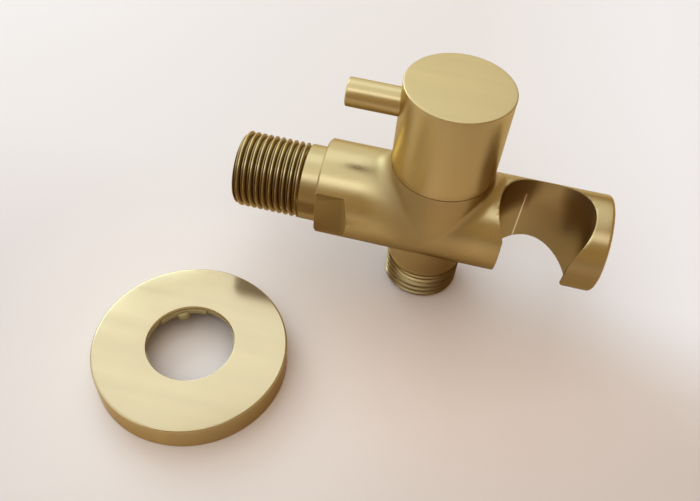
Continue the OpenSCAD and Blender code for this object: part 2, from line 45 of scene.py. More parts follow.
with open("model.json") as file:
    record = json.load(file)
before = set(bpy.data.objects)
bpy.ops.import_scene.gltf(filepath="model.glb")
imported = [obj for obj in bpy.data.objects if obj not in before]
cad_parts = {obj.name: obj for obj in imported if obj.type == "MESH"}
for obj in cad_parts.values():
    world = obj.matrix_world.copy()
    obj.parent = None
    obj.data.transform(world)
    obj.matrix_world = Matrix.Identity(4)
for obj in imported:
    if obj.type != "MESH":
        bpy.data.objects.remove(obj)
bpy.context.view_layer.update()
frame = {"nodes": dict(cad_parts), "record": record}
MM = 0.001
X, Y, Z = range(3)
ORIGIN = Vector((0, 0, 0))
X_AXIS = Vector((1, 0, 0))
Y_AXIS = Vector((0, 1, 0))
Z_AXIS = Vector((0, 0, 1))


# -------- what the frame says


def mount(name):
    """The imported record's mount of that name."""
    return next(m for m in frame["record"]["mounts"] if m["name"] == name)


def low(node):
    """A node's lowest corner."""
    return Vector(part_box(node)[0])


def high(node):
    """A node's highest corner."""
    return Vector(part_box(node)[1])


def middle(node):
    """The centre of a node's box."""
    return (low(node) + high(node)) / 2


def half(node, axis=X):
    """Half of a node's size along an axis."""
    return (high(node)[axis] - low(node)[axis]) / 2


AXIS_Z = mount("inlet")["pos_m"][2]
BODY_R = AXIS_Z - low("valve_body").z
TURRET_TOP_Z = high("valve_body").z
INLET_END_X = low("valve_body").x
BAR_END_X = high("valve_body").x
THREAD_R = mount("inlet")["dims"]["r_mm"] * MM
KNOB_R = high("knob").x
CRADLE_AT = Vector(mount("cradle")["pos_m"])
RING_AT = middle("escutcheon_shell")
RING_R = high("escutcheon_shell").x - RING_AT.x
RING_H = high("escutcheon_shell").z
RING_FOOT = Vector((RING_AT.x, RING_AT.y, 0))
SPIGOT_R = half("fixed_disc") - 0.8 * MM
STEM_CLEARANCE = 0.05 * MM


# -------- sizes and colours a user would change


def angular(label, about, value, least=0.0, most=2 * pi):
    """An angle property."""
    return FloatProperty(name=label, description=about, default=value, min=least, max=most,
                         subtype="ANGLE", unit="ROTATION")


def length(label, about, value, least=0.0, most=0.1):
    """A length property, in metres."""
    return FloatProperty(name=label, description=about, default=value, min=least, max=most,
                         precision=5, subtype="DISTANCE", unit="LENGTH")


def colour(label, about, value):
    """A linear colour property."""
    return FloatVectorProperty(name=label, description=about, default=value, size=3, min=0.0,
                               max=1.0, subtype="COLOR")


def whole(label, about, value, least, most):
    """A whole number."""
    return IntProperty(name=label, description=about, default=value, min=least, max=most)


def share(label, about, value, most=1.0):
    """A plain number from 0 up."""
    return FloatProperty(name=label, description=about, default=value, min=0.0, max=most)


class BodySizes(bpy.types.PropertyGroup):
    """Sizes of the body's forms."""

    shoulder_x: length("Shoulder", "From the stem's axis to the shoulder at the inlet end", 0.031)
    shoulder_chamfer: length("Shoulder chamfer", "Chamfer on the shoulder's edge", 0.0005)
    neck_l: length("Neck", "Plain neck between the shoulder and the inlet's thread", 0.00475)
    end_round: length("End round", "Rounding of the bar's end beside the cradle", 0.0009)
    fillet: length("Turret fillet", "Radius between the turret and the bar", 0.0042)
    flat_y: length("Wrench flat", "From the bar's axis to each wrench flat", 0.0109975)
    flat_l: length("Flat length", "Length of the wrench flats from the shoulder", 0.0092)
    flat_cutter_r: length("Flat cutter", "Radius of the cutter that ends the flats", 0.02)
    mouth_w: length("Cradle mouth", "Width of the cradle's mouth", 0.0175)
    mouth_x: length("Mouth place", "From the stem's axis to the middle of the mouth", 0.0277475)
    bore_top: length("Bore above", "Radius of the cradle's bore at its upper end", 0.01215)
    bore_foot: length("Bore below", "Radius of the cradle's bore at its lower end", 0.01138)
    bore_lean: length("Bore lean", "How far the bore's axis leans forwards over its height", 0.0015)
    bore_set: length("Bore set-back", "How far the bore lies behind its axis at mid-height", 0.00025)
    bore_sway: length("Bore sway", "How far the bore's axis leans outwards over its height", 0.0003)
    # Painted highlight: where the light line is painted down the bore's wall, along -X from the bore's
    # axis.
    glint_x: length("Score line", "From the bore's axis to the score down its wall, along -X", 0.0045)
    bore_h: length("Bore height", "Height between the bore's upper and lower end", 0.024)
    edge: length("Cut edge", "Width of the broken edges round the cradle and the flats", 0.00016)
    seat_r: length("Strainer seat", "Radius of the strainer's counterbore", 0.0075)
    seat_l: length("Strainer seat depth", "Depth of the strainer's counterbore", 0.009)
    bore_r: length("Inlet bore", "Radius of the inlet passage", 0.005)
    chamber_r: length("Chamber", "Radius of the cartridge's chamber", 0.0095)
    columns: whole("Columns", "Columns of faces round half of the bar", 96, 24, 200)


class ThreadSizes(bpy.types.PropertyGroup):
    """Sizes of the pipe threads."""

    pitch: length("Pitch", "Axial distance from crest to crest", 0.001814)
    depth: length("Depth", "Depth of the thread", 0.001162)
    land: length("Land", "Width of the land left on each crest", 0.0003)
    inlet_l: length("Inlet thread", "Length of the inlet's thread", 0.0189)
    outlet_l: length("Outlet thread", "Length of the outlet's thread", 0.0118)
    steps: whole("Steps", "Faces in one turn", 128, 32, 256)


# -------- mesh tools


# Vertices closer together than this are one.
WELD = 1e-6


def laid_along(bm, start, about):
    """Moves a mesh that stands on the origin so that it starts at a point and runs along an axis."""
    turn = Z_AXIS.rotation_difference(about).to_matrix().to_4x4()
    bmesh.ops.transform(bm, matrix=Matrix.Translation(start) @ turn, verts=bm.verts)
    return bm


def drawn(bm, profile):
    """Draws a profile of (radius, height) points as a chain of edges."""
    corners = [bm.verts.new((r, 0, z)) for r, z in profile]
    return corners + [bm.edges.new(pair) for pair in zip(corners, corners[1:])]


def revolved(profile, steps, about=Z_AXIS, at=ORIGIN):
    """A surface of revolution from (radius, height) points, about an axis through a point."""
    bm = bmesh.new()
    bmesh.ops.spin(bm, geom=drawn(bm, profile), cent=ORIGIN, axis=Z_AXIS, angle=2 * pi, steps=steps,
                   use_merge=True, use_duplicate=False)
    bmesh.ops.remove_doubles(bm, verts=bm.verts, dist=WELD)
    bmesh.ops.recalc_face_normals(bm, faces=bm.faces)
    return laid_along(bm, at, about)


def cylinder(radius, start, end, steps=192):
    """A closed cylinder between two points."""
    way = end - start
    profile = [(0, 0), (radius, 0), (radius, way.length), (0, way.length)]
    return revolved(profile, steps, way.normalized(), start)


def closed(bm):
    """Fills a mesh's open ends and points its faces outwards."""
    bmesh.ops.holes_fill(bm, edges=[e for e in bm.edges if e.is_boundary], sides=0)
    bmesh.ops.recalc_face_normals(bm, faces=bm.faces)
    return bm


def only_verts(geom):
    """The vertices among what an operator returned."""
    return [g for g in geom if isinstance(g, bmesh.types.BMVert)]


def arc(centre, radius, start, end, steps):
    """Points of a circular arc in the profile plane, angles in degrees from the outward direction."""
    turn = (end - start) / steps
    return [(centre[0] + radius * cos(radians(start + k * turn)),
             centre[1] + radius * sin(radians(start + k * turn))) for k in range(steps + 1)]


def linked(name, data):
    """An object in the scene for a mesh, a lamp or a camera."""
    made = bpy.data.objects.new(name, data)
    bpy.context.scene.collection.objects.link(made)
    return made


def as_object(name, bm):
    """An object in the scene with the bmesh as its mesh; the bmesh is freed."""
    mesh = bpy.data.meshes.new(name)
    bm.to_mesh(mesh)
    bm.free()
    return linked(name, mesh)


def combined(base, tool, operation):
    """The exact boolean of two bmeshes, as a new bmesh."""
    first, other = as_object("first", base), as_object("other", tool)
    change = first.modifiers.new("combine", "BOOLEAN")
    change.operation = operation
    change.solver = "EXACT"
    change.object = other
    graph = bpy.context.evaluated_depsgraph_get()
    result = bmesh.new()
    result.from_mesh(first.evaluated_get(graph).to_mesh())
    for spent in (first, other):
        mesh = spent.data
        bpy.data.objects.remove(spent)
        bpy.data.meshes.remove(mesh)
    if not result.faces:
        raise RuntimeError("A boolean left nothing: " + operation)
    return result


def fused(bm, tool):
    """Both meshes as one solid."""
    return combined(bm, tool, "UNION")


def cut(bm, tool):
    """The first mesh without what the second one takes away."""
    return combined(bm, tool, "DIFFERENCE")


def finished(name, bm, material, body, nodes, crease=35):
    """Makes a bmesh into a named piece that rides on a body and stands for its nodes."""
    for face in bm.faces:
        face.smooth = True
    piece = as_object(name, bm)
    piece.data.set_sharp_from_angle(angle=radians(crease))
    piece.data.materials.append(material)
    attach(piece, body)
    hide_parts(*nodes)
    return piece


# -------- the valve's body


# Rows of faces along half of the bar, round each bend and up the turret.
BAR_ROWS, BEND_ROWS, TURRET_ROWS = 24, 10, 6


def turret_radius(height):
    """Radius of the drafted turret at a height above the bar's axis."""
    return BODY_R + (KNOB_R - BODY_R) * height / (TURRET_TOP_Z - AXIS_Z)


def fillet_points(angle, ball):
    """Points of the fillet between bar and turret, at an angle from the bar's top.

    A ball of the fillet's radius rolls in the corner; its centre keeps that radius from both surfaces.
    """
    y = (BODY_R + ball) * sin(angle)
    z = (BODY_R + ball) * cos(angle)
    reach = (turret_radius(z) + ball) ** 2 - y * y
    centre = Vector((sqrt(max(reach, 0.0)), y, z))
    to_bar = Vector((0, -sin(angle), -cos(angle)))
    to_turret = Vector((-centre.x, -centre.y, 0)).normalized()
    apart = to_bar.angle(to_turret) > 1e-4
    return [centre + ball * (to_bar.slerp(to_turret, k / BEND_ROWS) if apart else to_bar)
            for k in range(BEND_ROWS + 1)]


def bar_rows(side, angle, sizes):
    """One column of the upper half: from the bar's end, along the bar, up the fillet and the turret."""
    end = BAR_END_X if side > 0 else sizes.shoulder_x
    corner = fillet_points(angle, sizes.fillet)
    if side > 0:
        edge = sizes.end_round
        ring = [(end - edge + edge * sin(a), BODY_R - edge + edge * cos(a))
                for a in (pi / 2 * (1 - k / BEND_ROWS) for k in range(BEND_ROWS + 1))]
    else:
        ring = [(end, BODY_R - sizes.shoulder_chamfer), (end - sizes.shoulder_chamfer, BODY_R)]
    points = [Vector((x, r * sin(angle), r * cos(angle))) for x, r in ring]
    start = points[-1]
    points += [start.lerp(corner[0], k / BAR_ROWS) for k in range(1, BAR_ROWS)]
    points += corner
    azimuth = atan2(corner[-1].y, corner[-1].x)
    rim = Vector((KNOB_R * cos(azimuth), KNOB_R * sin(azimuth), TURRET_TOP_Z - AXIS_Z))
    points += [corner[-1].lerp(rim, k / TURRET_ROWS) for k in range(1, TURRET_ROWS + 1)]
    for p in points:
        p.x *= side
    return points


def moved_grid(bm, columns, rows, place):
    """A grid whose vertices a formula of (column, row) then moves to their place."""
    for v in bmesh.ops.create_grid(bm, x_segments=columns, y_segments=rows, size=1.0)["verts"]:
        v.co = place(round((v.co.x + 1) / 2 * columns), round((v.co.y + 1) / 2 * rows))


def body_shell(sizes):
    """The bar with its filleted turret as one closed skin, in the bar's own axis."""
    n = sizes.columns
    bm = bmesh.new()
    for side in (-1, 1):
        columns = [bar_rows(side, pi * (i / n - 0.5), sizes) for i in range(n + 1)]
        moved_grid(bm, n, len(columns[0]) - 1, lambda i, j: columns[i][j])
        below = bar_rows(side, pi / 2, sizes)
        run = len(below) - BEND_ROWS - TURRET_ROWS

        def under(i, j):
            angle = pi * (0.5 + i / n)
            r = below[j].y
            return Vector((below[j].x, r * sin(angle), r * cos(angle)))

        moved_grid(bm, n, run - 1, under)
    bmesh.ops.remove_doubles(bm, verts=bm.verts, dist=2 * WELD)
    bmesh.ops.dissolve_degenerate(bm, dist=WELD, edges=bm.edges)
    bmesh.ops.translate(closed(bm), vec=Z_AXIS * AXIS_Z, verts=bm.verts)
    return bm


# Angle of the thread's flanks, how steeply its first turn rises, and how its last ones fade.
FLANK_ANGLE, LEAD_SLOPE, FADE_POWER = radians(27.5), 1.5, 0.8


def thread_solid(sizes, thread_l, run_out, plain_l):
    """A right-handed male thread from its free end at height 0, then a plain collar, closed."""
    root = THREAD_R - sizes.depth
    flank = sizes.depth * tan(FLANK_ANGLE)
    valley = sizes.pitch - sizes.land - 2 * flank
    outline = [(root, 0), (root, valley), (THREAD_R, valley + flank),
               (THREAD_R, valley + flank + sizes.land), (root, sizes.pitch)]
    fine = []
    for (r0, z0), (r1, z1) in zip(outline, outline[1:]):
        parts = 3 if r0 != r1 else 2
        fine += [(r0 + (r1 - r0) * k / parts, z0 + (z1 - z0) * k / parts) for k in range(parts)]
    fine.append(outline[-1])
    turns = ceil(thread_l / sizes.pitch) + 2
    head_start = 1.4 * sizes.pitch
    bm = bmesh.new()
    chain = drawn(bm, [(r, z - head_start) for r, z in fine])
    bmesh.ops.spin(bm, geom=chain, cent=ORIGIN, axis=Z_AXIS, angle=2 * pi, steps=sizes.steps,
                   dvec=Z_AXIS * (sizes.pitch / sizes.steps), use_merge=False, use_duplicate=False)
    turn = bm.verts[:] + bm.edges[:] + bm.faces[:]
    for k in range(1, turns):
        copied = bmesh.ops.duplicate(bm, geom=turn)["geom"]
        bmesh.ops.translate(bm, vec=Z_AXIS * (k * sizes.pitch), verts=only_verts(copied))
    bmesh.ops.remove_doubles(bm, verts=bm.verts, dist=WELD)

    def shaped(co):
        r = sqrt(co.x * co.x + co.y * co.y)
        lead = root + max(co.z, 0.0) * LEAD_SLOPE
        rising = min(max((co.z - thread_l + run_out) / run_out, 0.0), 1.0)
        new = max(min(r, lead), root + sizes.depth * rising ** FADE_POWER)
        return Vector((co.x * new / r, co.y * new / r, co.z))

    for v in bm.verts:
        v.co = shaped(v.co)
    for height, out in ((0.0, -Z_AXIS), (thread_l, Z_AXIS)):
        bmesh.ops.bisect_plane(bm, geom=bm.verts[:] + bm.edges[:] + bm.faces[:], dist=1e-7,
                               plane_co=Z_AXIS * height, plane_no=out, clear_outer=True)
    for v in bm.verts:
        v.co = shaped(v.co)
    bmesh.ops.remove_doubles(bm, verts=bm.verts, dist=2 * WELD)
    upper = [e for e in bm.edges if e.is_boundary and min(v.co.z for v in e.verts) > thread_l / 2]
    grown = bmesh.ops.extrude_edge_only(bm, edges=upper)["geom"]
    bmesh.ops.translate(bm, vec=Z_AXIS * plain_l, verts=only_verts(grown))
    return closed(bm)


def bore_at(height, sizes):
    """Centre and radius of the cradle's tapered, leaning bore at a height above the bar's axis."""
    k = height / sizes.bore_h
    radius = (sizes.bore_top + sizes.bore_foot) / 2 + k * (sizes.bore_top - sizes.bore_foot)
    x = CRADLE_AT.x + k * sizes.bore_sway
    y = CRADLE_AT.y + sizes.bore_set - k * sizes.bore_lean
    return Vector((x, y, height)), radius


def cradle_tool(sizes):
    """The cradle's bore with its mouth, as an upright prism taller than the bar."""
    steps = 144
    reach = BODY_R + 2 * MM
    right = sizes.mouth_x + sizes.mouth_w / 2
    left = sizes.mouth_x - sizes.mouth_w / 2
    bm = bmesh.new()
    rings = []
    for height in (-reach, reach):
        centre, radius = bore_at(height, sizes)
        start = asin((right - centre.x) / radius)
        end = asin((centre.x - left) / radius)
        corners = [Vector((left, -2 * reach, 0)), Vector((right, -2 * reach, 0))]
        for k in range(steps + 1):
            a = -pi / 2 + start + (2 * pi - start - end) * k / steps
            corners.append(Vector((centre.x + radius * cos(a), centre.y + radius * sin(a), 0)))
        rings.append([bm.verts.new(c + Z_AXIS * (AXIS_Z + height)) for c in corners])
    loops = [bm.edges.new(pair) for ring in rings for pair in zip(ring, ring[1:] + ring[:1])]
    bmesh.ops.bridge_loops(bm, edges=loops)
    return closed(bm)


def stem_tool(sizes):
    """Everything that the cartridge and the nipple fill in the body, as one turned core."""
    collar = half("nipple_gasket") + 2 * STEM_CLEARANCE
    stub = SPIGOT_R + STEM_CLEARANCE
    shelf = high("nipple_gasket").z
    seat = high("outlet_nipple").z
    recess = high("housing_o_ring").x + STEM_CLEARANCE
    recess_z = low("housing_o_ring").z - 0.1 * MM
    thread_z = recess_z - 7 * MM
    above = TURRET_TOP_Z + MM
    return revolved([(0, 0), (collar, 0), (collar, shelf), (stub, shelf), (stub, seat),
                     (sizes.chamber_r, seat), (sizes.chamber_r, thread_z), (collar, thread_z),
                     (collar, recess_z), (recess, recess_z), (recess, above), (0, above)], 128)


def break_edges(bm, width, near, steepest=25):
    """Bevels the sharp edges that a test picks, once the shortest of them are merged away."""

    def sharp():
        least = radians(steepest)
        return [e for e in bm.edges if e.is_manifold and e.calc_face_angle(0) > least and near(e)]

    ends = {v for e in sharp() for v in e.verts}
    bmesh.ops.remove_doubles(bm, verts=list(ends), dist=width * 0.5)
    picked = sharp()
    if picked:
        bmesh.ops.bevel(bm, geom=picked, offset=width, offset_type="OFFSET", affect="EDGES", segments=2,
                        profile=0.5, material=-1, clamp_overlap=False)
    return bm


def body_mesh(sizes, threads):
    """The body: filleted bar and turret, inlet thread, wrench flats, cradle and passages."""
    inlet_end = Vector((INLET_END_X, 0, AXIS_Z))
    thread = thread_solid(threads, threads.inlet_l, 0.8 * MM, sizes.neck_l + 2 * MM)
    bm = fused(body_shell(sizes), laid_along(thread, inlet_end, X_AXIS))
    bm = cut(cut(bm, cradle_tool(sizes)), stem_tool(sizes))
    cutter_x = -(sizes.shoulder_x - sizes.flat_l) - sizes.flat_cutter_r
    for side in (-1, 1):
        at = Vector((cutter_x, side * sizes.flat_y, AXIS_Z))
        bm = cut(bm, cylinder(sizes.flat_cutter_r, at, at + Vector((0, side * 4 * MM, 0)), 360))
    seat_r, seat_l, bore_r = sizes.seat_r, sizes.seat_l, sizes.bore_r
    passage_l = -INLET_END_X - sizes.chamber_r + MM
    passage = [(0, -MM), (seat_r, -MM), (seat_r, seat_l), (bore_r, seat_l), (bore_r, passage_l),
               (0, passage_l)]
    bm = cut(bm, revolved(passage, 128, X_AXIS, inlet_end))

    near_round, near_flat = 0.02 * MM, 0.003 * MM

    def on_cradle(v):
        centre, radius = bore_at(v.co.z - AXIS_Z, sizes)
        off_bore = abs((v.co - centre).xy.length - radius)
        off_mouth = abs(abs(v.co.x - sizes.mouth_x) - sizes.mouth_w / 2)
        return off_bore < near_round or (off_mouth < near_flat and v.co.y < 0)

    def on_flat(v):
        return abs(abs(v.co.y) - sizes.flat_y) < near_flat and v.co.x < 0

    def outer(edge):
        return all(on_cradle(v) for v in edge.verts) or all(on_flat(v) for v in edge.verts)

    return break_edges(bm, sizes.edge, outer)


# -------- the loose and fitted pieces


class NippleSizes(bpy.types.PropertyGroup):
    """Sizes of the outlet nipple."""

    run_out: length("Run-out", "Length over which the outlet's thread fades away", 0.0068)
    bore_r: length("Outlet bore", "Radius of the bore below the throat", 0.006)
    throat_l: length("Throat", "Height of the throat's wall below the seat", 0.0054)
    throat_r: length("Throat radius", "Radius of the throat", 0.0049955)


def nipple_mesh(sizes, threads):
    """The outlet nipple: a thread that fades into a plain collar, the upper spigot and the bore."""
    shoulder = low("nipple_gasket").z
    seat = high("outlet_nipple").z
    bm = thread_solid(threads, threads.outlet_l, sizes.run_out, shoulder - threads.outlet_l)
    bm = fused(bm, cylinder(SPIGOT_R, Z_AXIS * 2 * MM, Z_AXIS * seat, 128))
    step = seat - sizes.throat_l
    edge = 0.4 * MM
    bore = [(0, -MM), (sizes.bore_r + edge + MM, -MM), (sizes.bore_r, edge), (sizes.bore_r, step),
            (sizes.throat_r, step), (sizes.throat_r, seat + MM), (0, seat + MM)]
    return cut(bm, revolved(bore, 128))


class StrainerSizes(bpy.types.PropertyGroup):
    """Sizes of the strainer in the inlet."""

    wall: length("Cup wall", "Sheet thickness of the cup", 0.0003)
    rim_t: length("Rim", "Thickness of the plastic rim", 0.0016)
    holes: whole("Holes", "Holes in one row of the cup", 22, 8, 40)


CUP_R = 4.5 * MM


def strainer_cup_mesh(sizes):
    """A perforated cup: rows of square holes in its side and its end, with a flat collar."""
    length_x = high("strainer_mesh").x - low("strainer_mesh").x
    collar_r = high("strainer_mesh").z - AXIS_Z
    ledge, collar_t, land, bend, rings = sizes.rim_t, 0.4 * MM, 1.2 * MM, 0.5 * MM, 4
    pitch = 2 * pi * CUP_R / sizes.holes
    rows = int((length_x - ledge - 2.4 * MM) / pitch)
    start = ledge + land
    profile = [(CUP_R, 0), (CUP_R, start)] + [(CUP_R, start + pitch * (k + 1)) for k in range(rows)]
    profile += [(CUP_R, length_x - bend), (CUP_R - bend, length_x)]
    profile += [(CUP_R - bend - 0.95 * MM * k, length_x) for k in range(1, rings)] + [(0, length_x)]
    bm = revolved(profile, sizes.holes)
    side = [f for f in bm.faces
            if abs(f.normal.z) < 0.5 and start < f.calc_center_median().z < start + pitch * rows]
    end = [f for f in bm.faces if f.normal.z > 0.9 and len(f.verts) == 4
           and f.calc_center_median().xy.length > land]
    bmesh.ops.inset_individual(bm, faces=side + end, thickness=0.17 * MM)
    bmesh.ops.delete(bm, geom=[f for f in side + end if f.is_valid], context="FACES")
    bmesh.ops.recalc_face_normals(bm, faces=bm.faces)
    bmesh.ops.solidify(bm, geom=bm.faces[:], thickness=sizes.wall)
    top = ledge + collar_t
    collar = [(CUP_R, ledge), (collar_r, ledge), (collar_r, top), (CUP_R, top), (CUP_R, ledge)]
    join_into(bm, revolved(collar, 96))
    return laid_along(bm, Vector((low("strainer_mesh").x, 0, AXIS_Z)), X_AXIS)


def join_into(bm, other):
    """Adds another bmesh's shells to this one."""
    spent = bpy.data.meshes.new("join")
    other.to_mesh(spent)
    other.free()
    bm.from_mesh(spent)
    bpy.data.meshes.remove(spent)


def strainer_rim_mesh(sizes):
    """The strainer's moulded rim, with rounded edges."""
    outer_r, inner_r, t = half("strainer_rim", Z), 4.55 * MM, sizes.rim_t
    soft, lead_in = 0.3 * MM, 0.6 * MM
    profile = arc((outer_r - soft, t - soft), soft, 0, 90, 5)
    profile += arc((inner_r + soft, t - soft), soft, 90, 180, 5)
    profile += arc((inner_r + lead_in, lead_in), lead_in, 180, 270, 6)
    profile += arc((outer_r - soft, soft), soft, 270, 360, 5) + profile[:1]
    return revolved(profile, 128, X_AXIS, Vector((low("strainer_rim").x, 0, AXIS_Z)))


class KnobSizes(bpy.types.PropertyGroup):
    """Sizes of the knob and its lever pin."""

    edge: length("Top edge", "Rounding of the knob's top edge", 0.0003)
    skirt_edge: length("Skirt edge", "Rounding of the skirt's lower edge", 0.0001)
    drop: length("Skirt drop", "How far the skirt reaches below the solid knob", 0.00017)
    cavity_r: length("Cavity", "Radius of the skirt's cavity", 0.0119975)
    sunk: length("Pin sunk", "How deep the pin's foot is let in", 0.0006)
    pin_edge: length("Pin end", "Rounding of the pin's free end", 0.00035)
    stud_r: length("Stud", "Radius of the pin's stud", 0.0025)
    gap: length("Gap", "Radial gap round fitted pieces", 0.00005)


def pin_seat(sizes):
    """The lever pin's radius, and how far from the knob's axis its foot is seated."""
    pin_r = half("lever_pin", Y)
    return pin_r, sqrt(KNOB_R ** 2 - pin_r ** 2) - sizes.sunk


def knob_mesh(sizes):
    """The knob: a deep cup round a sleeve, let in for the lever pin and drilled for the grub screw."""
    foot, top = low("knob").z - sizes.drop, high("knob").z
    sleeve_r = half("spline_adapter", Y) + sizes.gap
    sleeve_top = high("spline_adapter").z
    ceiling = low("spline_adapter").z - 0.3 * MM
    e, s = sizes.edge, sizes.skirt_edge
    rows = 12
    profile = [(0, top), (KNOB_R - e - MM, top)] + arc((KNOB_R - e, top - e), e, 90, 0, 8)
    profile += [(KNOB_R, foot + s + (top - e - foot - s) * (1 - k / rows)) for k in range(1, rows)]
    profile += arc((KNOB_R - s, foot + s), s, 0, -90, 4)
    cavity_r, lead_in = sizes.cavity_r, 0.2 * MM
    profile += [(cavity_r + lead_in, foot), (cavity_r, foot + lead_in), (cavity_r, ceiling),
                (sleeve_r, ceiling), (sleeve_r, sleeve_top), (0, sleeve_top)]
    bm = revolved(profile, 256)
    pin_r, seat = pin_seat(sizes)
    deep = -high("lever_pin").x - 2 * sizes.gap
    hole = [(0, deep), (sizes.stud_r + sizes.gap, deep), (sizes.stud_r + sizes.gap, seat),
            (pin_r + sizes.gap, seat), (pin_r + sizes.gap, 2 * KNOB_R), (0, 2 * KNOB_R)]
    bm = cut(bm, revolved(hole, 96, -X_AXIS, Z_AXIS * middle("lever_pin").z))
    grub, grub_r = Z_AXIS * middle("knob_grub_screw").z, half("knob_grub_screw") + sizes.gap
    bm = cut(bm, cylinder(grub_r, grub + Y_AXIS * 3 * MM, grub + Y_AXIS * 2 * KNOB_R, 64))

    def mouth(edge):
        return all(abs(v.co.xy.length - KNOB_R) < 0.02 * MM and foot + MM < v.co.z < top - MM
                   for v in edge.verts)

    return break_edges(bm, 0.08 * MM, mouth)


def pin_mesh(sizes):
    """The lever pin: softly rounded free end, a flat foot and a stud."""
    pin_r, seat = pin_seat(sizes)
    free, tip = -low("lever_pin").x, -high("lever_pin").x
    e, stud, chamfer = sizes.pin_edge, sizes.stud_r, 0.3 * MM
    profile = [(0, tip), (stud - chamfer, tip), (stud, tip + chamfer), (stud, seat), (pin_r, seat)]
    profile += [(pin_r, seat + MM + (free - e - seat - MM) * k / 4) for k in range(4)]
    profile += arc((pin_r - e, free - e), e, 0, 90, 6) + [(pin_r / 2, free), (0, free)]
    return revolved(profile, 128, -X_AXIS, Z_AXIS * middle("lever_pin").z)


def grub_screw_mesh():
    """A socket set screw with a cone point and a shallow thread."""
    r, foot = half("knob_grub_screw"), low("knob_grub_screw").y
    long = high("knob_grub_screw").y - foot
    point, pitch, depth, chamfer = 0.6 * MM, 0.7 * MM, 0.28 * MM, 0.25 * MM
    profile = [(0, 0), (r - point, 0), (r, point)]
    z = MM
    while z < long - pitch:
        profile += [(r, z), (r - depth, z + 0.3 * pitch), (r, z + 0.6 * pitch)]
        z += pitch
    profile += [(r, long - chamfer), (r - chamfer, long), (0, long)]
    at = Vector((0, foot, middle("knob_grub_screw").z))
    socket_r, socket_l = r / 2 / cos(pi / 6), 2.4 * MM
    socket = revolved([(0, -socket_l), (socket_r, -socket_l), (socket_r, MM), (0, MM)], 6, Y_AXIS,
                      at + Y_AXIS * long)
    return cut(revolved(profile, 64, Y_AXIS, at), socket)


class EscutcheonSizes(bpy.types.PropertyGroup):
    """Sizes of the escutcheon and its grip ring."""

    wall: length("Wall", "Wall of the shell", 0.0012)
    hole_r: length("Hole", "Radius of the hole", 0.0113275)
    outer_round: length("Outer round", "Rounding of the outer edge", 0.0006)
    crown: length("Crown", "How far the top falls off from the hole to the outer edge", 0.00055)
    hole_edge: length("Hole edge", "Rounding of the hole's edge", 0.00015)
    grip_h: length("Grip height", "Height of the grip ring and its socket", 0.0015)
    band: length("Band", "Width of the grip ring behind the hole's edge", 0.0017)
    socket_wall: length("Socket wall", "Wall of the socket", 0.0008)
    pad_reach: length("Pad reach", "How far the pads reach inside the hole's edge", 0.0004)
    pad_angle: angular("Pad angle", "Angle that each pad covers", radians(66), radians(20), radians(90))
    nub_r: length("Nub", "Radius of the nub on the first pad", 0.00195)
    nub_reach: length("Nub reach", "How far the nub reaches inside the hole's edge", 0.00155)
    nub_h: length("Nub height", "Height of the nub", 0.0018)
    nub_direction: angular("Nub direction", "Direction of the nub from the centre", radians(122))


def escutcheon_mesh(sizes):
    """The escutcheon's shell: a shallow cup with a hole and the grip ring's socket round it."""
    roof = RING_H - sizes.wall
    socket_r = sizes.hole_r + sizes.band
    socket_out = socket_r + sizes.socket_wall
    lip = roof - sizes.grip_h
    e, small, inner = sizes.hole_edge, 0.12 * MM, 0.6 * MM
    rim_h, turn = RING_H - sizes.crown, sizes.outer_round
    profile = [(RING_R, small)]
    profile += [(RING_R, small + (rim_h - turn - small) * k / 4) for k in range(1, 4)]
    profile += arc((RING_R - turn, rim_h - turn), turn, 0, 90, 10)
    flat_from, flat_to = RING_R - turn, sizes.hole_r + e
    profile += [(flat_from + (flat_to - flat_from) * k / 8, rim_h + sizes.crown * sin(k * pi / 16))
                for k in range(1, 8)]
    profile += arc((sizes.hole_r + e, RING_H - e), e, 90, 180, 4)
    profile += [(sizes.hole_r, roof + small), (sizes.hole_r + small, roof), (socket_r, roof),
                (socket_r, lip + small), (socket_r + small, lip), (socket_out - small, lip),
                (socket_out, lip + small)]
    profile += arc((socket_out + inner, roof - inner), inner, 180, 90, 5)
    profile += arc((RING_R - sizes.wall - inner, roof - inner), inner, 90, 0, 5)
    profile += [(RING_R - sizes.wall, small), (RING_R - sizes.wall + small, 0), (RING_R - small, 0),
                (RING_R, small)]
    return revolved(profile, 256, Z_AXIS, RING_FOOT)


def soft_section(inner_r, outer_r, foot, roof, soft):
    """A closed rectangular section with rounded corners, for a ring."""
    corners = ((outer_r - soft, roof - soft), (inner_r + soft, roof - soft),
               (inner_r + soft, foot + soft), (outer_r - soft, foot + soft))
    return [p for k, corner in enumerate(corners) for p in arc(corner, soft, 90 * k, 90 * k + 90, 4)]


def grip_pad(section, start, angle):
    """A stretch of ring with a given section, swept through an angle."""
    pad = bmesh.new()
    face = pad.faces.new([pad.verts.new((r, 0, z)) for r, z in section])
    bmesh.ops.rotate(pad, verts=pad.verts, cent=ORIGIN, matrix=Matrix.Rotation(start, 3, "Z"))
    bmesh.ops.spin(pad, geom=[face], cent=ORIGIN, axis=Z_AXIS, angle=angle, steps=28,
                   use_merge=False, use_duplicate=False)
    bmesh.ops.recalc_face_normals(pad, faces=pad.faces)
    return pad


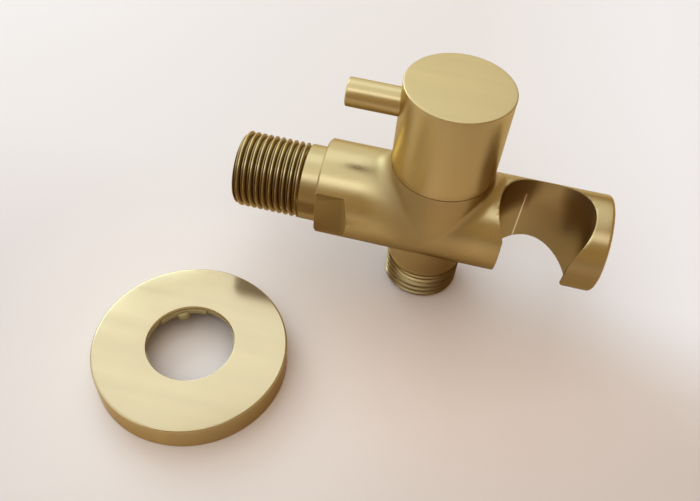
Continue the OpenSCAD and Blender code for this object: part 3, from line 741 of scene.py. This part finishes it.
def grip_ring_mesh(sizes):
    """The rubber grip ring: a band with three thicker pads, the first with a rounded nub below it."""
    nub_foot, roof = low("escutcheon_grip_ring").z, high("escutcheon_grip_ring").z
    foot = roof - sizes.grip_h
    step, soft = 0.2 * MM, 0.2 * MM
    band_out = sizes.hole_r + sizes.band - 0.05 * MM
    band = soft_section(sizes.hole_r + step, band_out, foot, roof, soft)
    bm = revolved(band + band[:1], 160)
    pad = soft_section(sizes.hole_r - sizes.pad_reach, band_out - step, foot, roof, soft)
    for k in range(3):
        start = sizes.nub_direction + radians(120 * k) - sizes.pad_angle / 2
        bm = fused(bm, grip_pad(pad, start, sizes.pad_angle))
    centre = sizes.hole_r - sizes.nub_reach + sizes.nub_r
    at = Vector((centre * cos(sizes.nub_direction), centre * sin(sizes.nub_direction), 0))
    crown = 0.8 * MM
    top = nub_foot + sizes.nub_h
    peg = [(0, nub_foot), (sizes.nub_r - soft, nub_foot)]
    peg += arc((sizes.nub_r - soft, nub_foot + soft), soft, 270, 360, 3)
    peg += arc((sizes.nub_r - crown, top - crown), crown, 0, 90, 8) + [(0, top)]
    bm = fused(bm, revolved(peg, 48, Z_AXIS, at))
    bmesh.ops.translate(bm, vec=RING_FOOT, verts=bm.verts)
    return bm


# -------- materials


class FinishSettings(bpy.types.PropertyGroup):
    """Colours and surface of the finishes."""

    # Painted highlight: the tone of the light line painted down the cradle's bore and of the lightened
    # underside of the inlet thread.
    bright: colour("Bright line", "The score left in the cradle's bore", (0.95, 0.78, 0.5))
    pale_brass: colour("Pale brass", "The escutcheon's brass", (0.58, 0.435, 0.21))
    edge_tint: colour("Edge tint", "Tone of the brass where it is seen edge on", (0.78, 0.66, 0.48))
    brass: colour("Brass", "Plated satin brass", (0.56, 0.41, 0.17))
    raw_brass: colour("Raw brass", "Machined brass of the cartridge", (0.68, 0.50, 0.22))
    steel: colour("Steel", "Stainless steel", (0.60, 0.61, 0.62))
    ceramic: colour("Ceramic", "Lapped ceramic discs", (0.86, 0.85, 0.80))
    rubber: colour("Black rubber", "Seals and O-rings", (0.018, 0.018, 0.019))
    plastic: colour("White plastic", "Moulded plastic", (0.80, 0.79, 0.75))
    amber: colour("Amber rubber", "The grip ring", (0.38, 0.29, 0.10))
    # Painted shade: how far faces that look down are darkened, to stand for the shade under the pieces.
    shade_below: share("Shade below", "How far faces that look down are dulled", 0.9)
    roughness: share("Roughness", "Mean roughness of the brushed brass", 0.2)
    grain: share("Grain", "Height of the brushing, in metres", 0.000004)


class NodeTree:
    """The nodes of a material or a world, with short calls that add nodes to it."""

    def __init__(self, owner, shader="Principled BSDF"):
        owner.use_nodes = True
        self.owner, self.tree = owner, owner.node_tree
        self.shader = self.tree.nodes[shader]
        self.coordinates = self.tree.nodes.new("ShaderNodeTexCoord").outputs
        self.place, self.normal = self.coordinates["Object"], self.coordinates["Normal"]

    def node(self, kind, inputs=None, **settings):
        """A node with its settings made and its inputs linked or filled in."""
        made = self.tree.nodes.new(kind)
        for key, value in settings.items():
            setattr(made, key, value)
        for key, value in (inputs or {}).items():
            self.fill(made.inputs[key], value)
        return made

    def fill(self, socket, value):
        """Links a socket, or sets it."""
        if isinstance(value, bpy.types.NodeSocket):
            self.tree.links.new(value, socket)
        else:
            socket.default_value = value

    def feed(self, socket, value):
        """Links or sets a socket of the shader."""
        self.fill(self.shader.inputs[socket], value)

    def math(self, operation, *values):
        """One step of arithmetic."""
        return self.node("ShaderNodeMath", dict(enumerate(values)), operation=operation).outputs[0]

    def product(self, *values):
        """All the values multiplied."""
        return reduce(lambda a, b: self.math("MULTIPLY", a, b), values)

    def most(self, *values):
        """The largest of the values."""
        return reduce(lambda a, b: self.math("MAXIMUM", a, b), values)

    def vector_math(self, operation, *vectors):
        """One step of vector arithmetic."""
        return self.node("ShaderNodeVectorMath", dict(enumerate(vectors)), operation=operation).outputs

    def parts(self, vector):
        """The three parts of a vector."""
        return self.node("ShaderNodeSeparateXYZ", {"Vector": vector}).outputs[:]

    def reach(self, centre, across):
        """Distance from an axis through a centre; `across` is 1 in the directions across it."""
        away = self.vector_math("SUBTRACT", self.place, centre)[0]
        return self.vector_math("LENGTH", self.vector_math("MULTIPLY", away, across)[0])["Value"]

    def noise(self, scale, detail=3.0):
        """Noise over Object coordinates, in cycles per metre along each axis."""
        if not isinstance(scale, tuple):
            scale = (scale, scale, scale)
        vector = self.node("ShaderNodeMapping", {"Vector": self.place, "Scale": scale}).outputs[0]
        made = self.node("ShaderNodeTexNoise", {"Vector": vector, "Scale": 1.0, "Detail": detail})
        return made.outputs["Fac"]

    def ranged(self, value, low_end, high_end, start=0.3, stop=0.7, **settings):
        """Maps a value between start and stop to one between two ends, and holds it there."""
        made = self.node("ShaderNodeMapRange", {"Value": value, "From Min": start, "From Max": stop,
                                                "To Min": low_end, "To Max": high_end}, **settings)
        return made.outputs["Result"]

    def rise(self, value, start, stop, top=1.0):
        """0 before start and `top` past stop."""
        return self.ranged(value, 0.0, top, start, stop)

    def fall(self, value, start, stop, top=1.0):
        """`top` before start and 0 past stop."""
        return self.ranged(value, top, 0.0, start, stop)

    def mixed(self, factor, first, second):
        """A number between two."""
        return self.node("ShaderNodeMix", {0: factor, 2: first, 3: second}).outputs[0]

    def blend(self, factor, first, second):
        """A colour between two, given as sockets or as plain colours."""
        first, second = (c if isinstance(c, bpy.types.NodeSocket) else (*c, 1) for c in (first, second))
        return self.node("ShaderNodeMix", {0: factor, 6: first, 7: second}, data_type="RGBA").outputs[2]

    def tinted(self, factor, dark, light):
        """A colour between two, where a noise goes from low to high."""
        return self.blend(self.ranged(factor, 0.0, 1.0), dark, light)

    def bump(self, height, distance):
        """Feeds the shader a bumped normal."""
        made = self.node("ShaderNodeBump", {"Height": height, "Distance": distance})
        self.feed("Normal", made.outputs["Normal"])


def shade(tone, factor):
    """A colour made darker or lighter."""
    return tuple(min(c * factor, 1.0) for c in tone)


def streaks(axis, fine, along):
    """Noise scale for lines that run along one axis."""
    return tuple(along if k == axis else fine for k in range(3))


# Cycles per metre across and along the brushing: fine lines, wider streaks, and those on the ends.
LINES, STREAKS, END_STREAKS = (1400.0, 25.0), (260.0, 9.0), (200.0, 12.0)
# What is left of each colour where the painted shade is full.
SHADE_SHARES = (0.36, 0.29, 0.24)
ON_STEM, ROUND_STEM, ROUND_BAR = (0.0, 0.0, 0.0), (1.0, 1.0, 0.0), (0.0, 1.0, 1.0)


def brushed_brass(name, finish, grain, end_grain, rough=0.0, tone=1.0, painted_light=None, brass=None,
                  metallic=1.0):
    """Satin brass brushed along the axis `grain`: fine lines, soft wider streaks, a cloudy sheen.

    Faces that look along `grain` are brushed along `end_grain` instead. Faces that look down get
    painted shade; a painted light function, if given, takes that and returns from the node tree how far
    the brass is darkened as painted shade and lightened towards the bright tone as a painted highlight,
    and what is added to its roughness.
    """
    n = NodeTree(bpy.data.materials.new(name))
    brass = brass or finish.brass
    looks = n.parts(n.normal)
    facing = n.rise(n.math("ABSOLUTE", looks[grain]), 0.8, 0.95)
    fine = n.mixed(facing, n.noise(streaks(grain, *LINES), 2.0),
                   n.noise(streaks(end_grain, *LINES), 2.0))
    wide = n.mixed(facing, n.noise(streaks(grain, *STREAKS), 3.0),
                   n.noise(streaks(end_grain, *END_STREAKS), 2.0))
    mottle = n.math("MULTIPLY_ADD", wide, 0.6, n.math("MULTIPLY", n.noise(70.0), 0.4))
    colour_now = n.tinted(mottle, shade(brass, 0.94 * tone), shade(brass, 1.05 * tone))
    # Painted shade by default: faces that look down are darkened, as far as shade_below says.
    painted_shade, painted_highlight, coarse = n.fall(looks[Z], -0.7, 0.0, finish.shade_below), 0.0, 0.0
    if painted_light is not None:
        painted_shade, painted_highlight, coarse = painted_light(n, painted_shade)
    # The colour is darkened towards the shade shares where the painted shade lies.
    colour_now = n.blend(painted_shade, colour_now, tuple(c * k for c, k in zip(brass, SHADE_SHARES)))
    # Painted highlight: the colour is lightened towards the bright tone.
    n.feed("Base Color", n.blend(painted_highlight, colour_now, finish.bright))
    mean = finish.roughness + rough
    coarse = n.math("MULTIPLY_ADD", painted_shade, 0.15, coarse)
    n.feed("Roughness", n.math("ADD", coarse, n.ranged(mottle, mean - 0.035, mean + 0.045)))
    n.bump(n.math("MULTIPLY_ADD", fine, 0.5, wide), finish.grain)
    n.feed("Metallic", n.ranged(looks[Z], 1.0, metallic, 0.5, 0.9))
    n.feed("Specular Tint", (*finish.edge_tint, 1.0))
    return n.owner


def body_painted_light(sizes):
    """Painted light on the body's brass: painted shade in thread and bore, on flats, neck, turret, end
    and down-facing faces; a painted highlight down the bore and under the thread; more roughness by the
    turret.
    """
    shoulder_x = -sizes.shoulder_x
    thread_to = shoulder_x - sizes.neck_l
    flat_to = shoulder_x + sizes.flat_l
    bore_at_mid = (CRADLE_AT.x, CRADLE_AT.y + sizes.bore_set, 0.0)

    def painted_light(n, below):
        (x, _, z), (_, ny, nz) = n.parts(n.place), n.parts(n.normal)
        from_stem = n.reach(ON_STEM, ROUND_STEM)
        on_thread = n.fall(x, thread_to - 0.3 * MM, thread_to)
        from_bar = n.reach((0.0, 0.0, AXIS_Z), ROUND_BAR)
        # Painted shade down in the inlet thread's valleys, less on faces that look up or down.
        valley = n.product(n.fall(from_bar, THREAD_R - 0.8 * MM, THREAD_R - 0.08 * MM), on_thread,
                           n.ranged(nz, 0.1, 1.0, -0.55, -0.2), n.ranged(nz, 1.0, 0.65, 0.3, 0.8))
        # Painted shade on the wrench flats.
        flat = n.product(n.rise(n.math("ABSOLUTE", ny), 0.95, 0.99, 0.75),
                         n.fall(x, flat_to - 2 * MM, flat_to + 0.5 * MM))
        # Painted shade left of the shoulder, except on faces that look up.
        neck = n.product(n.fall(x, shoulder_x, shoulder_x + 0.1 * MM, 0.4), n.fall(nz, 0.6, 0.85))
        # Painted shade on the turret and round its foot.
        turret = n.fall(from_stem, KNOB_R + MM, KNOB_R + 5 * MM, 0.3)
        # Painted shade on the lower side of the bar towards its +X end.
        end = n.product(n.rise(x, 0.012, 0.03, 0.55), n.fall(nz, 0.0, 0.4))

        # Painted shade in the cradle's bore, deeper in bands on its +X side and high on its -X side.
        across = n.math("SUBTRACT", x, bore_at_mid[0])
        in_bore = n.fall(n.reach(bore_at_mid, ROUND_STEM), sizes.bore_top - 0.1 * MM,
                         sizes.bore_top + 0.15 * MM)
        right = n.product(n.rise(across, 3.5 * MM, 7.5 * MM, 0.42), n.ranged(z, 0.25, 1.0, 0.02, 0.032))
        left = n.product(n.fall(across, -3.2 * MM, -2.4 * MM, 0.3), n.rise(z, 0.026, 0.031))
        bore = n.product(in_bore, n.math("ADD", n.math("ADD", right, left), 0.38))
        # Painted highlight: a light line down the bore's wall, at the set distance along -X from its
        # axis, stopping short of its upper edge.
        off_glint = n.math("ABSOLUTE", n.math("ADD", across, sizes.glint_x))
        glint = n.product(in_bore, n.fall(off_glint, 0.1 * MM, 0.26 * MM), n.fall(z, 0.033, 0.0338))

        # Painted shade on faces that look down, off the thread.
        below = n.product(below, n.fall(on_thread, 0.0, 1.0))
        # Painted highlight on the faces of the inlet thread that look down.
        under = n.product(on_thread, n.fall(nz, -0.6, -0.3, 0.8))
        rough = n.product(n.fall(from_stem, KNOB_R + 2 * MM, KNOB_R + 8 * MM, 0.25),
                          n.fall(x, -2 * MM, 2 * MM))
        return n.most(valley, flat, neck, turret, bore, end, below), n.most(glint, under), rough

    return painted_light


def nipple_painted_shade(n, below):
    """Painted shade on the nipple's brass: down in its thread, more towards its +X side, at its -X edge
    and on faces that look down.
    """
    across = n.parts(n.place)[X]
    # Painted shade: more towards +X, at the -X edge and down in the thread.
    right = n.ranged(across, 0.2, 0.95, -8 * MM, 7 * MM)
    left = n.fall(across, -10.3 * MM, -9.2 * MM, 0.9)
    from_stem = n.reach(ON_STEM, ROUND_STEM)
    valley = n.product(n.fall(from_stem, THREAD_R - 0.9 * MM, THREAD_R - 0.1 * MM),
                       n.ranged(across, 0.4, 0.85, -9 * MM, -1 * MM))
    return n.most(right, left, valley, below), 0.0, 0.0


def ring_painted_shade(n, below):
    """Painted shade on the escutcheon's brass: on its side, more towards +X, and on faces that look down.
    """
    # Painted shade on the side, growing towards +X.
    side = n.product(n.ranged(n.parts(n.place)[X], 0.05, 0.45, RING_AT.x + 2 * MM, RING_AT.x + 22 * MM),
                     n.fall(n.parts(n.normal)[Z], 0.2, 0.6))
    return n.most(below, side), 0.0, 0.0


def turned_metal(name, tone, grain, roughness):
    """Machined metal with fine rings across the axis `grain`."""
    n = NodeTree(bpy.data.materials.new(name))
    rings = n.noise(tuple(2600.0 if k == grain else 30.0 for k in range(3)), 2.0)
    n.feed("Base Color", n.tinted(n.noise(120.0), shade(tone, 0.9), shade(tone, 1.06)))
    n.feed("Roughness", n.ranged(rings, roughness - 0.05, roughness + 0.08))
    n.bump(rings, 0.008 * MM)
    n.feed("Metallic", 1.0)
    return n.owner


def moulded(name, tone, roughness, grain, mottle=0.06):
    """Rubber, plastic or ceramic: a fine grain and a faint cloudiness."""
    n = NodeTree(bpy.data.materials.new(name))
    n.feed("Base Color", n.tinted(n.noise(160.0), shade(tone, 1 - mottle), shade(tone, 1 + mottle)))
    n.feed("Roughness", n.ranged(n.noise(900.0), roughness - 0.05, roughness + 0.05))
    n.bump(n.noise(2500.0, 2.0), grain)
    return n.owner


# -------- stage


class StageSettings(bpy.types.PropertyGroup):
    """Camera, lamps, world and floor."""

    lens: FloatProperty(name="Lens", description="Focal length", default=36.93, min=10.0, max=200.0,
                        subtype="DISTANCE_CAMERA")
    floor: colour("Floor", "Matt pale table, behind the object", (0.79, 0.665, 0.52))
    # Painted shade on the table in front of the object.
    floor_near_painted_shade: colour("Near floor", "The table in front of the object", (0.70, 0.575, 0.45))
    # Painted light: lifts and warms the shadow close to the valve.
    floor_painted_shadow_fill: colour("Warm floor", "The table close to the object", (0.82, 0.62, 0.445))
    # Painted light on the table behind on the right.
    floor_right_painted_light: colour("Right floor", "The table behind on the right", (0.88, 0.77, 0.64))
    # Painted light on the table round the escutcheon.
    floor_ring_painted_light: colour("Ring floor", "The table round the escutcheon", (0.87, 0.725, 0.55))
    # Painted shade towards the table's near edge.
    floor_edge_painted_shade: colour("Floor edge", "The table towards its near edge", (0.40, 0.30, 0.205))
    sky: colour("Bright side", "World colour overhead and behind", (0.75, 0.83, 1.0))
    dusk: colour("Dim side", "World colour low on the near side", (0.31, 0.235, 0.14))
    sky_level: share("World level", "Strength of the world", 1.5, 4.0)
    key: share("Key", "Power of the key lamp behind on the left, in watts", 3.1, 50.0)
    key_tone: colour("Key tone", "Colour of the key lamp", (0.48, 0.71, 1.0))
    window: share("Window", "Power of the soft window behind on the left, in watts", 0.35, 50.0)
    window_tone: colour("Window tone", "Colour of the window", (0.45, 0.62, 1.0))
    strip: share("Strip", "Power of the strip lamp over the camera, in watts", 0.6, 50.0)
    strip_tone: colour("Strip tone", "Colour of the strip lamp", (0.55, 0.68, 1.0))


# Which way the room brightens, and between which slopes.
BRIGHT_WAY, DIM_SLOPE, BRIGHT_SLOPE = (-1.4, 0.5, 0.9), 0.3, 0.75
# The fitted camera: where it stands, and how far it is turned, tipped and rolled.
CAMERA_AT = Vector((-0.000632, -0.141377, 0.166555))
CAMERA_TURNS = (0.14839, 0.85558, 0.10647)


def studio_world(stage):
    """A soft room: bright overhead and behind, dimmer low on the near side."""
    world = bpy.data.worlds.new("studio")
    bpy.context.scene.world = world
    n = NodeTree(world, "Background")
    slope = n.vector_math("DOT_PRODUCT", n.coordinates["Generated"], BRIGHT_WAY)["Value"]
    bright = n.ranged(slope, 0.0, 1.0, DIM_SLOPE, BRIGHT_SLOPE, interpolation_type="SMOOTHSTEP")
    n.feed("Color", n.blend(bright, stage.dusk, stage.sky))
    n.feed("Strength", stage.sky_level)


def area_lamp(name, azimuth, elevation, distance, size, watts, tone):
    """A soft lamp that looks at the object; azimuth is counted from +X towards +Y."""
    a, e = radians(azimuth), radians(elevation)
    data = bpy.data.lights.new(name, "AREA")
    data.shape = "RECTANGLE"
    (data.size, data.size_y), data.energy, data.color = size, watts, tone
    lamp = linked(name, data)
    out = Vector((cos(a) * cos(e), sin(a) * cos(e), sin(e)))
    lamp.location = Z_AXIS * AXIS_Z + out * distance
    lamp.rotation_mode = "QUATERNION"
    lamp.rotation_quaternion = out.to_track_quat("Z", "Y")


def studio_floor(stage):
    """A wide matt table with painted light in its colour: darker in front and towards its near edge as
    painted shade, lighter and warmer round the valve to fill its shadow, paler on the right and round the
    escutcheon.
    """
    bm = bmesh.new()
    bmesh.ops.create_grid(bm, x_segments=1, y_segments=1, size=4.0)
    floor = as_object("floor", bm)
    n = NodeTree(bpy.data.materials.new("pale_table"))
    across, along, _ = n.parts(n.place)
    # Painted shade in front of the object.
    near = n.fall(along, -0.05, 0.025)
    # Painted shade towards the near edge.
    edge = n.fall(n.math("MULTIPLY_ADD", across, -0.45, along), -0.22, -0.055)
    # Painted light on the right, behind.
    right = n.product(n.rise(across, 0.0, 0.08), n.rise(along, -0.025, 0.005))
    # Painted light round the escutcheon.
    by_ring = n.fall(n.reach(RING_FOOT, ROUND_STEM), 0.0, 0.07)
    # Painted light close to the valve, filling its shadow.
    by_valve = n.fall(n.reach((0.0, -0.02, 0.0), (0.7, 1.0, 1.0)), 0.02, 0.08)
    plain = n.tinted(n.noise(4.0), shade(stage.floor, 0.985), shade(stage.floor, 1.01))
    tone = n.blend(near, plain, n.blend(by_valve, stage.floor_near_painted_shade, stage.floor_painted_shadow_fill))
    for where, other in ((right, stage.floor_right_painted_light), (by_ring, stage.floor_ring_painted_light),
                         (edge, stage.floor_edge_painted_shade)):
        tone = n.blend(where, tone, other)
    n.feed("Base Color", tone)
    n.feed("Roughness", 0.6)
    n.feed("Specular IOR Level", 0.2)
    floor.data.materials.append(n.owner)


def camera(stage):
    """The camera, from its fitted place and its three turns."""
    yaw, pitch, roll = CAMERA_TURNS
    forward = Vector((-sin(yaw) * cos(pitch), cos(yaw) * cos(pitch), -sin(pitch)))
    right = Vector((cos(yaw), sin(yaw), 0))
    up = right.cross(forward)
    data = bpy.data.cameras.new("camera")
    data.lens, data.clip_start, data.clip_end = stage.lens, 0.01, 20.0
    axes = (cos(roll) * right + sin(roll) * up, cos(roll) * up - sin(roll) * right, -forward)
    cam = linked("camera", data)
    cam.matrix_world = Matrix.Translation(CAMERA_AT) @ Matrix(axes).transposed().to_4x4()
    bpy.context.scene.camera = cam


# -------- operators and panel


class VALVE_OT_body(bpy.types.Operator):
    """Makes the body with its inlet thread, flats and cradle"""

    bl_idname = "valve.body"
    bl_label = "Body"

    def execute(self, context):
        scene, finish = context.scene, context.scene.valve_finish
        sizes = scene.valve_body
        metal = brushed_brass("body_brass", finish, X, Y, rough=0.06, tone=0.97,
                              painted_light=body_painted_light(sizes))
        bm = body_mesh(sizes, scene.valve_threads)
        finished("body", bm, metal, "valve", ["valve_body"])
        return {"FINISHED"}


class VALVE_OT_nipple(bpy.types.Operator):
    """Makes the outlet nipple with its fading thread"""

    bl_idname = "valve.nipple"
    bl_label = "Outlet nipple"

    def execute(self, context):
        scene, finish = context.scene, context.scene.valve_finish
        metal = brushed_brass("nipple_brass", finish, Z, X, rough=0.06, painted_light=nipple_painted_shade)
        bm = nipple_mesh(scene.valve_nipple, scene.valve_threads)
        finished("nipple", bm, metal, "valve", ["outlet_nipple"])
        return {"FINISHED"}


class VALVE_OT_strainer(bpy.types.Operator):
    """Makes the strainer's perforated cup and its rim"""

    bl_idname = "valve.strainer"
    bl_label = "Strainer"

    def execute(self, context):
        scene, finish = context.scene, context.scene.valve_finish
        cup, rim = strainer_cup_mesh(scene.valve_strainer), strainer_rim_mesh(scene.valve_strainer)
        steel = turned_metal("strainer_steel", finish.steel, X, 0.22)
        finished("strainer_cup", cup, steel, "valve", ["strainer_mesh"])
        plastic = moulded("strainer_plastic", finish.plastic, 0.4, 0.004 * MM)
        finished("strainer_ring", rim, plastic, "valve", ["strainer_rim"])
        return {"FINISHED"}


class VALVE_OT_knob(bpy.types.Operator):
    """Makes the knob"""

    bl_idname = "valve.knob"
    bl_label = "Knob"

    def execute(self, context):
        scene, finish = context.scene, context.scene.valve_finish
        metal = brushed_brass("knob_brass", finish, Z, X, rough=0.12)
        finished("knob_cap", knob_mesh(scene.valve_knob), metal, "handle", ["knob"])
        return {"FINISHED"}


class VALVE_OT_lever_pin(bpy.types.Operator):
    """Makes the knob's lever pin"""

    bl_idname = "valve.lever_pin"
    bl_label = "Lever pin"

    def execute(self, context):
        scene, finish = context.scene, context.scene.valve_finish
        metal = brushed_brass("pin_brass", finish, X, Y, rough=0.06)
        finished("lever", pin_mesh(scene.valve_knob), metal, "handle", ["lever_pin"])
        return {"FINISHED"}


class VALVE_OT_grub_screw(bpy.types.Operator):
    """Makes the set screw that locks the knob"""

    bl_idname = "valve.grub_screw"
    bl_label = "Grub screw"

    def execute(self, context):
        finish = context.scene.valve_finish
        steel = turned_metal("screw_steel", finish.steel, Y, 0.3)
        finished("grub_screw", grub_screw_mesh(), steel, "handle", ["knob_grub_screw"])
        return {"FINISHED"}


class VALVE_OT_escutcheon(bpy.types.Operator):
    """Makes the escutcheon's shell"""

    bl_idname = "valve.escutcheon"
    bl_label = "Escutcheon"

    def execute(self, context):
        scene, finish = context.scene, context.scene.valve_finish
        metal = brushed_brass("escutcheon_brass", finish, Z, X, rough=-0.02, painted_light=ring_painted_shade,
                              brass=finish.pale_brass, metallic=0.78)
        bm = escutcheon_mesh(scene.valve_escutcheon)
        finished("escutcheon", bm, metal, "escutcheon", ["escutcheon_shell"])
        return {"FINISHED"}


class VALVE_OT_grip_ring(bpy.types.Operator):
    """Makes the rubber grip ring inside the escutcheon"""

    bl_idname = "valve.grip_ring"
    bl_label = "Grip ring"

    def execute(self, context):
        scene, finish = context.scene, context.scene.valve_finish
        rubber = moulded("grip_rubber", finish.amber, 0.3, 0.006 * MM)
        bm = grip_ring_mesh(scene.valve_escutcheon)
        finished("grip_ring", bm, rubber, "escutcheon", ["escutcheon_grip_ring"])
        return {"FINISHED"}


class VALVE_OT_cartridge(bpy.types.Operator):
    """Finishes the solids of the cartridge and the seals, which stay as they are"""

    bl_idname = "valve.cartridge"
    bl_label = "Cartridge"

    def execute(self, context):
        finish = context.scene.valve_finish
        made = {
            "raw_brass": turned_metal("cartridge_brass", finish.raw_brass, Z, 0.28),
            "steel": turned_metal("clip_steel", finish.steel, Z, 0.25),
            "ceramic": moulded("lapped_ceramic", finish.ceramic, 0.25, 0.001 * MM, 0.02),
            "black_rubber": moulded("seal_rubber", finish.rubber, 0.55, 0.006 * MM, 0.2),
            "white_plastic": moulded("sleeve_plastic", finish.plastic, 0.45, 0.004 * MM),
        }
        fitted = {"valve_body", "outlet_nipple", "strainer_mesh", "strainer_rim", "knob", "lever_pin",
                  "knob_grub_screw", "escutcheon_shell", "escutcheon_grip_ring"}
        for part in frame["record"]["subparts"]:
            if part["node"] not in fitted:
                materials = frame["nodes"][part["node"]].data.materials
                materials.clear()
                materials.append(made[part["material_slot"]])
        return {"FINISHED"}


class VALVE_OT_stage(bpy.types.Operator):
    """Makes the floor, the lamps, the world and the camera"""

    bl_idname = "valve.stage"
    bl_label = "Stage"

    def execute(self, context):
        stage = context.scene.valve_stage
        studio_floor(stage)
        studio_world(stage)
        area_lamp("key", azimuth=140, elevation=27, distance=0.8, size=(0.54, 0.34),
                  watts=stage.key, tone=stage.key_tone)
        area_lamp("window", azimuth=128, elevation=58, distance=0.6, size=(0.5, 0.3),
                  watts=stage.window, tone=stage.window_tone)
        area_lamp("strip", azimuth=-85, elevation=56, distance=0.6, size=(0.56, 0.2),
                  watts=stage.strip, tone=stage.strip_tone)
        camera(stage)
        context.scene.view_settings.view_transform = "Standard"
        return {"FINISHED"}


OPERATORS = (VALVE_OT_body, VALVE_OT_nipple, VALVE_OT_strainer, VALVE_OT_knob, VALVE_OT_lever_pin,
             VALVE_OT_grub_screw, VALVE_OT_escutcheon, VALVE_OT_grip_ring, VALVE_OT_cartridge,
             VALVE_OT_stage)
SETTINGS = {
    "valve_body": BodySizes, "valve_threads": ThreadSizes, "valve_nipple": NippleSizes,
    "valve_strainer": StrainerSizes, "valve_knob": KnobSizes, "valve_escutcheon": EscutcheonSizes,
    "valve_finish": FinishSettings, "valve_stage": StageSettings,
}


class VALVE_PT_parts(bpy.types.Panel):
    """Lists the pieces of the valve and their settings"""

    bl_label = "Angle stop valve"
    bl_idname = "VALVE_PT_parts"
    bl_space_type = "VIEW_3D"
    bl_region_type = "UI"
    bl_category = "Valve"

    def draw(self, context):
        for operator in OPERATORS:
            self.layout.operator(operator.bl_idname)
        for name in SETTINGS:
            box = self.layout.box()
            settings = getattr(context.scene, name)
            for key in settings.bl_rna.properties.keys():
                if key not in ("rna_type", "name"):
                    box.prop(settings, key)


CLASSES = (*SETTINGS.values(), *OPERATORS, VALVE_PT_parts)


def register():
    """Registers the classes and puts the settings on the scene."""
    for made in CLASSES:
        bpy.utils.register_class(made)
    for name, group in SETTINGS.items():
        setattr(bpy.types.Scene, name, PointerProperty(type=group))


def unregister():
    """Takes away what register() made."""
    for name in SETTINGS:
        delattr(bpy.types.Scene, name)
    for made in reversed(CLASSES):
        bpy.utils.unregister_class(made)


def main():
    """Makes the whole scene, piece by piece."""
    register()
    for operator in OPERATORS:
        space, action = operator.bl_idname.split(".")
        getattr(getattr(bpy.ops, space), action)()


if __name__ == "__main__":
    main()
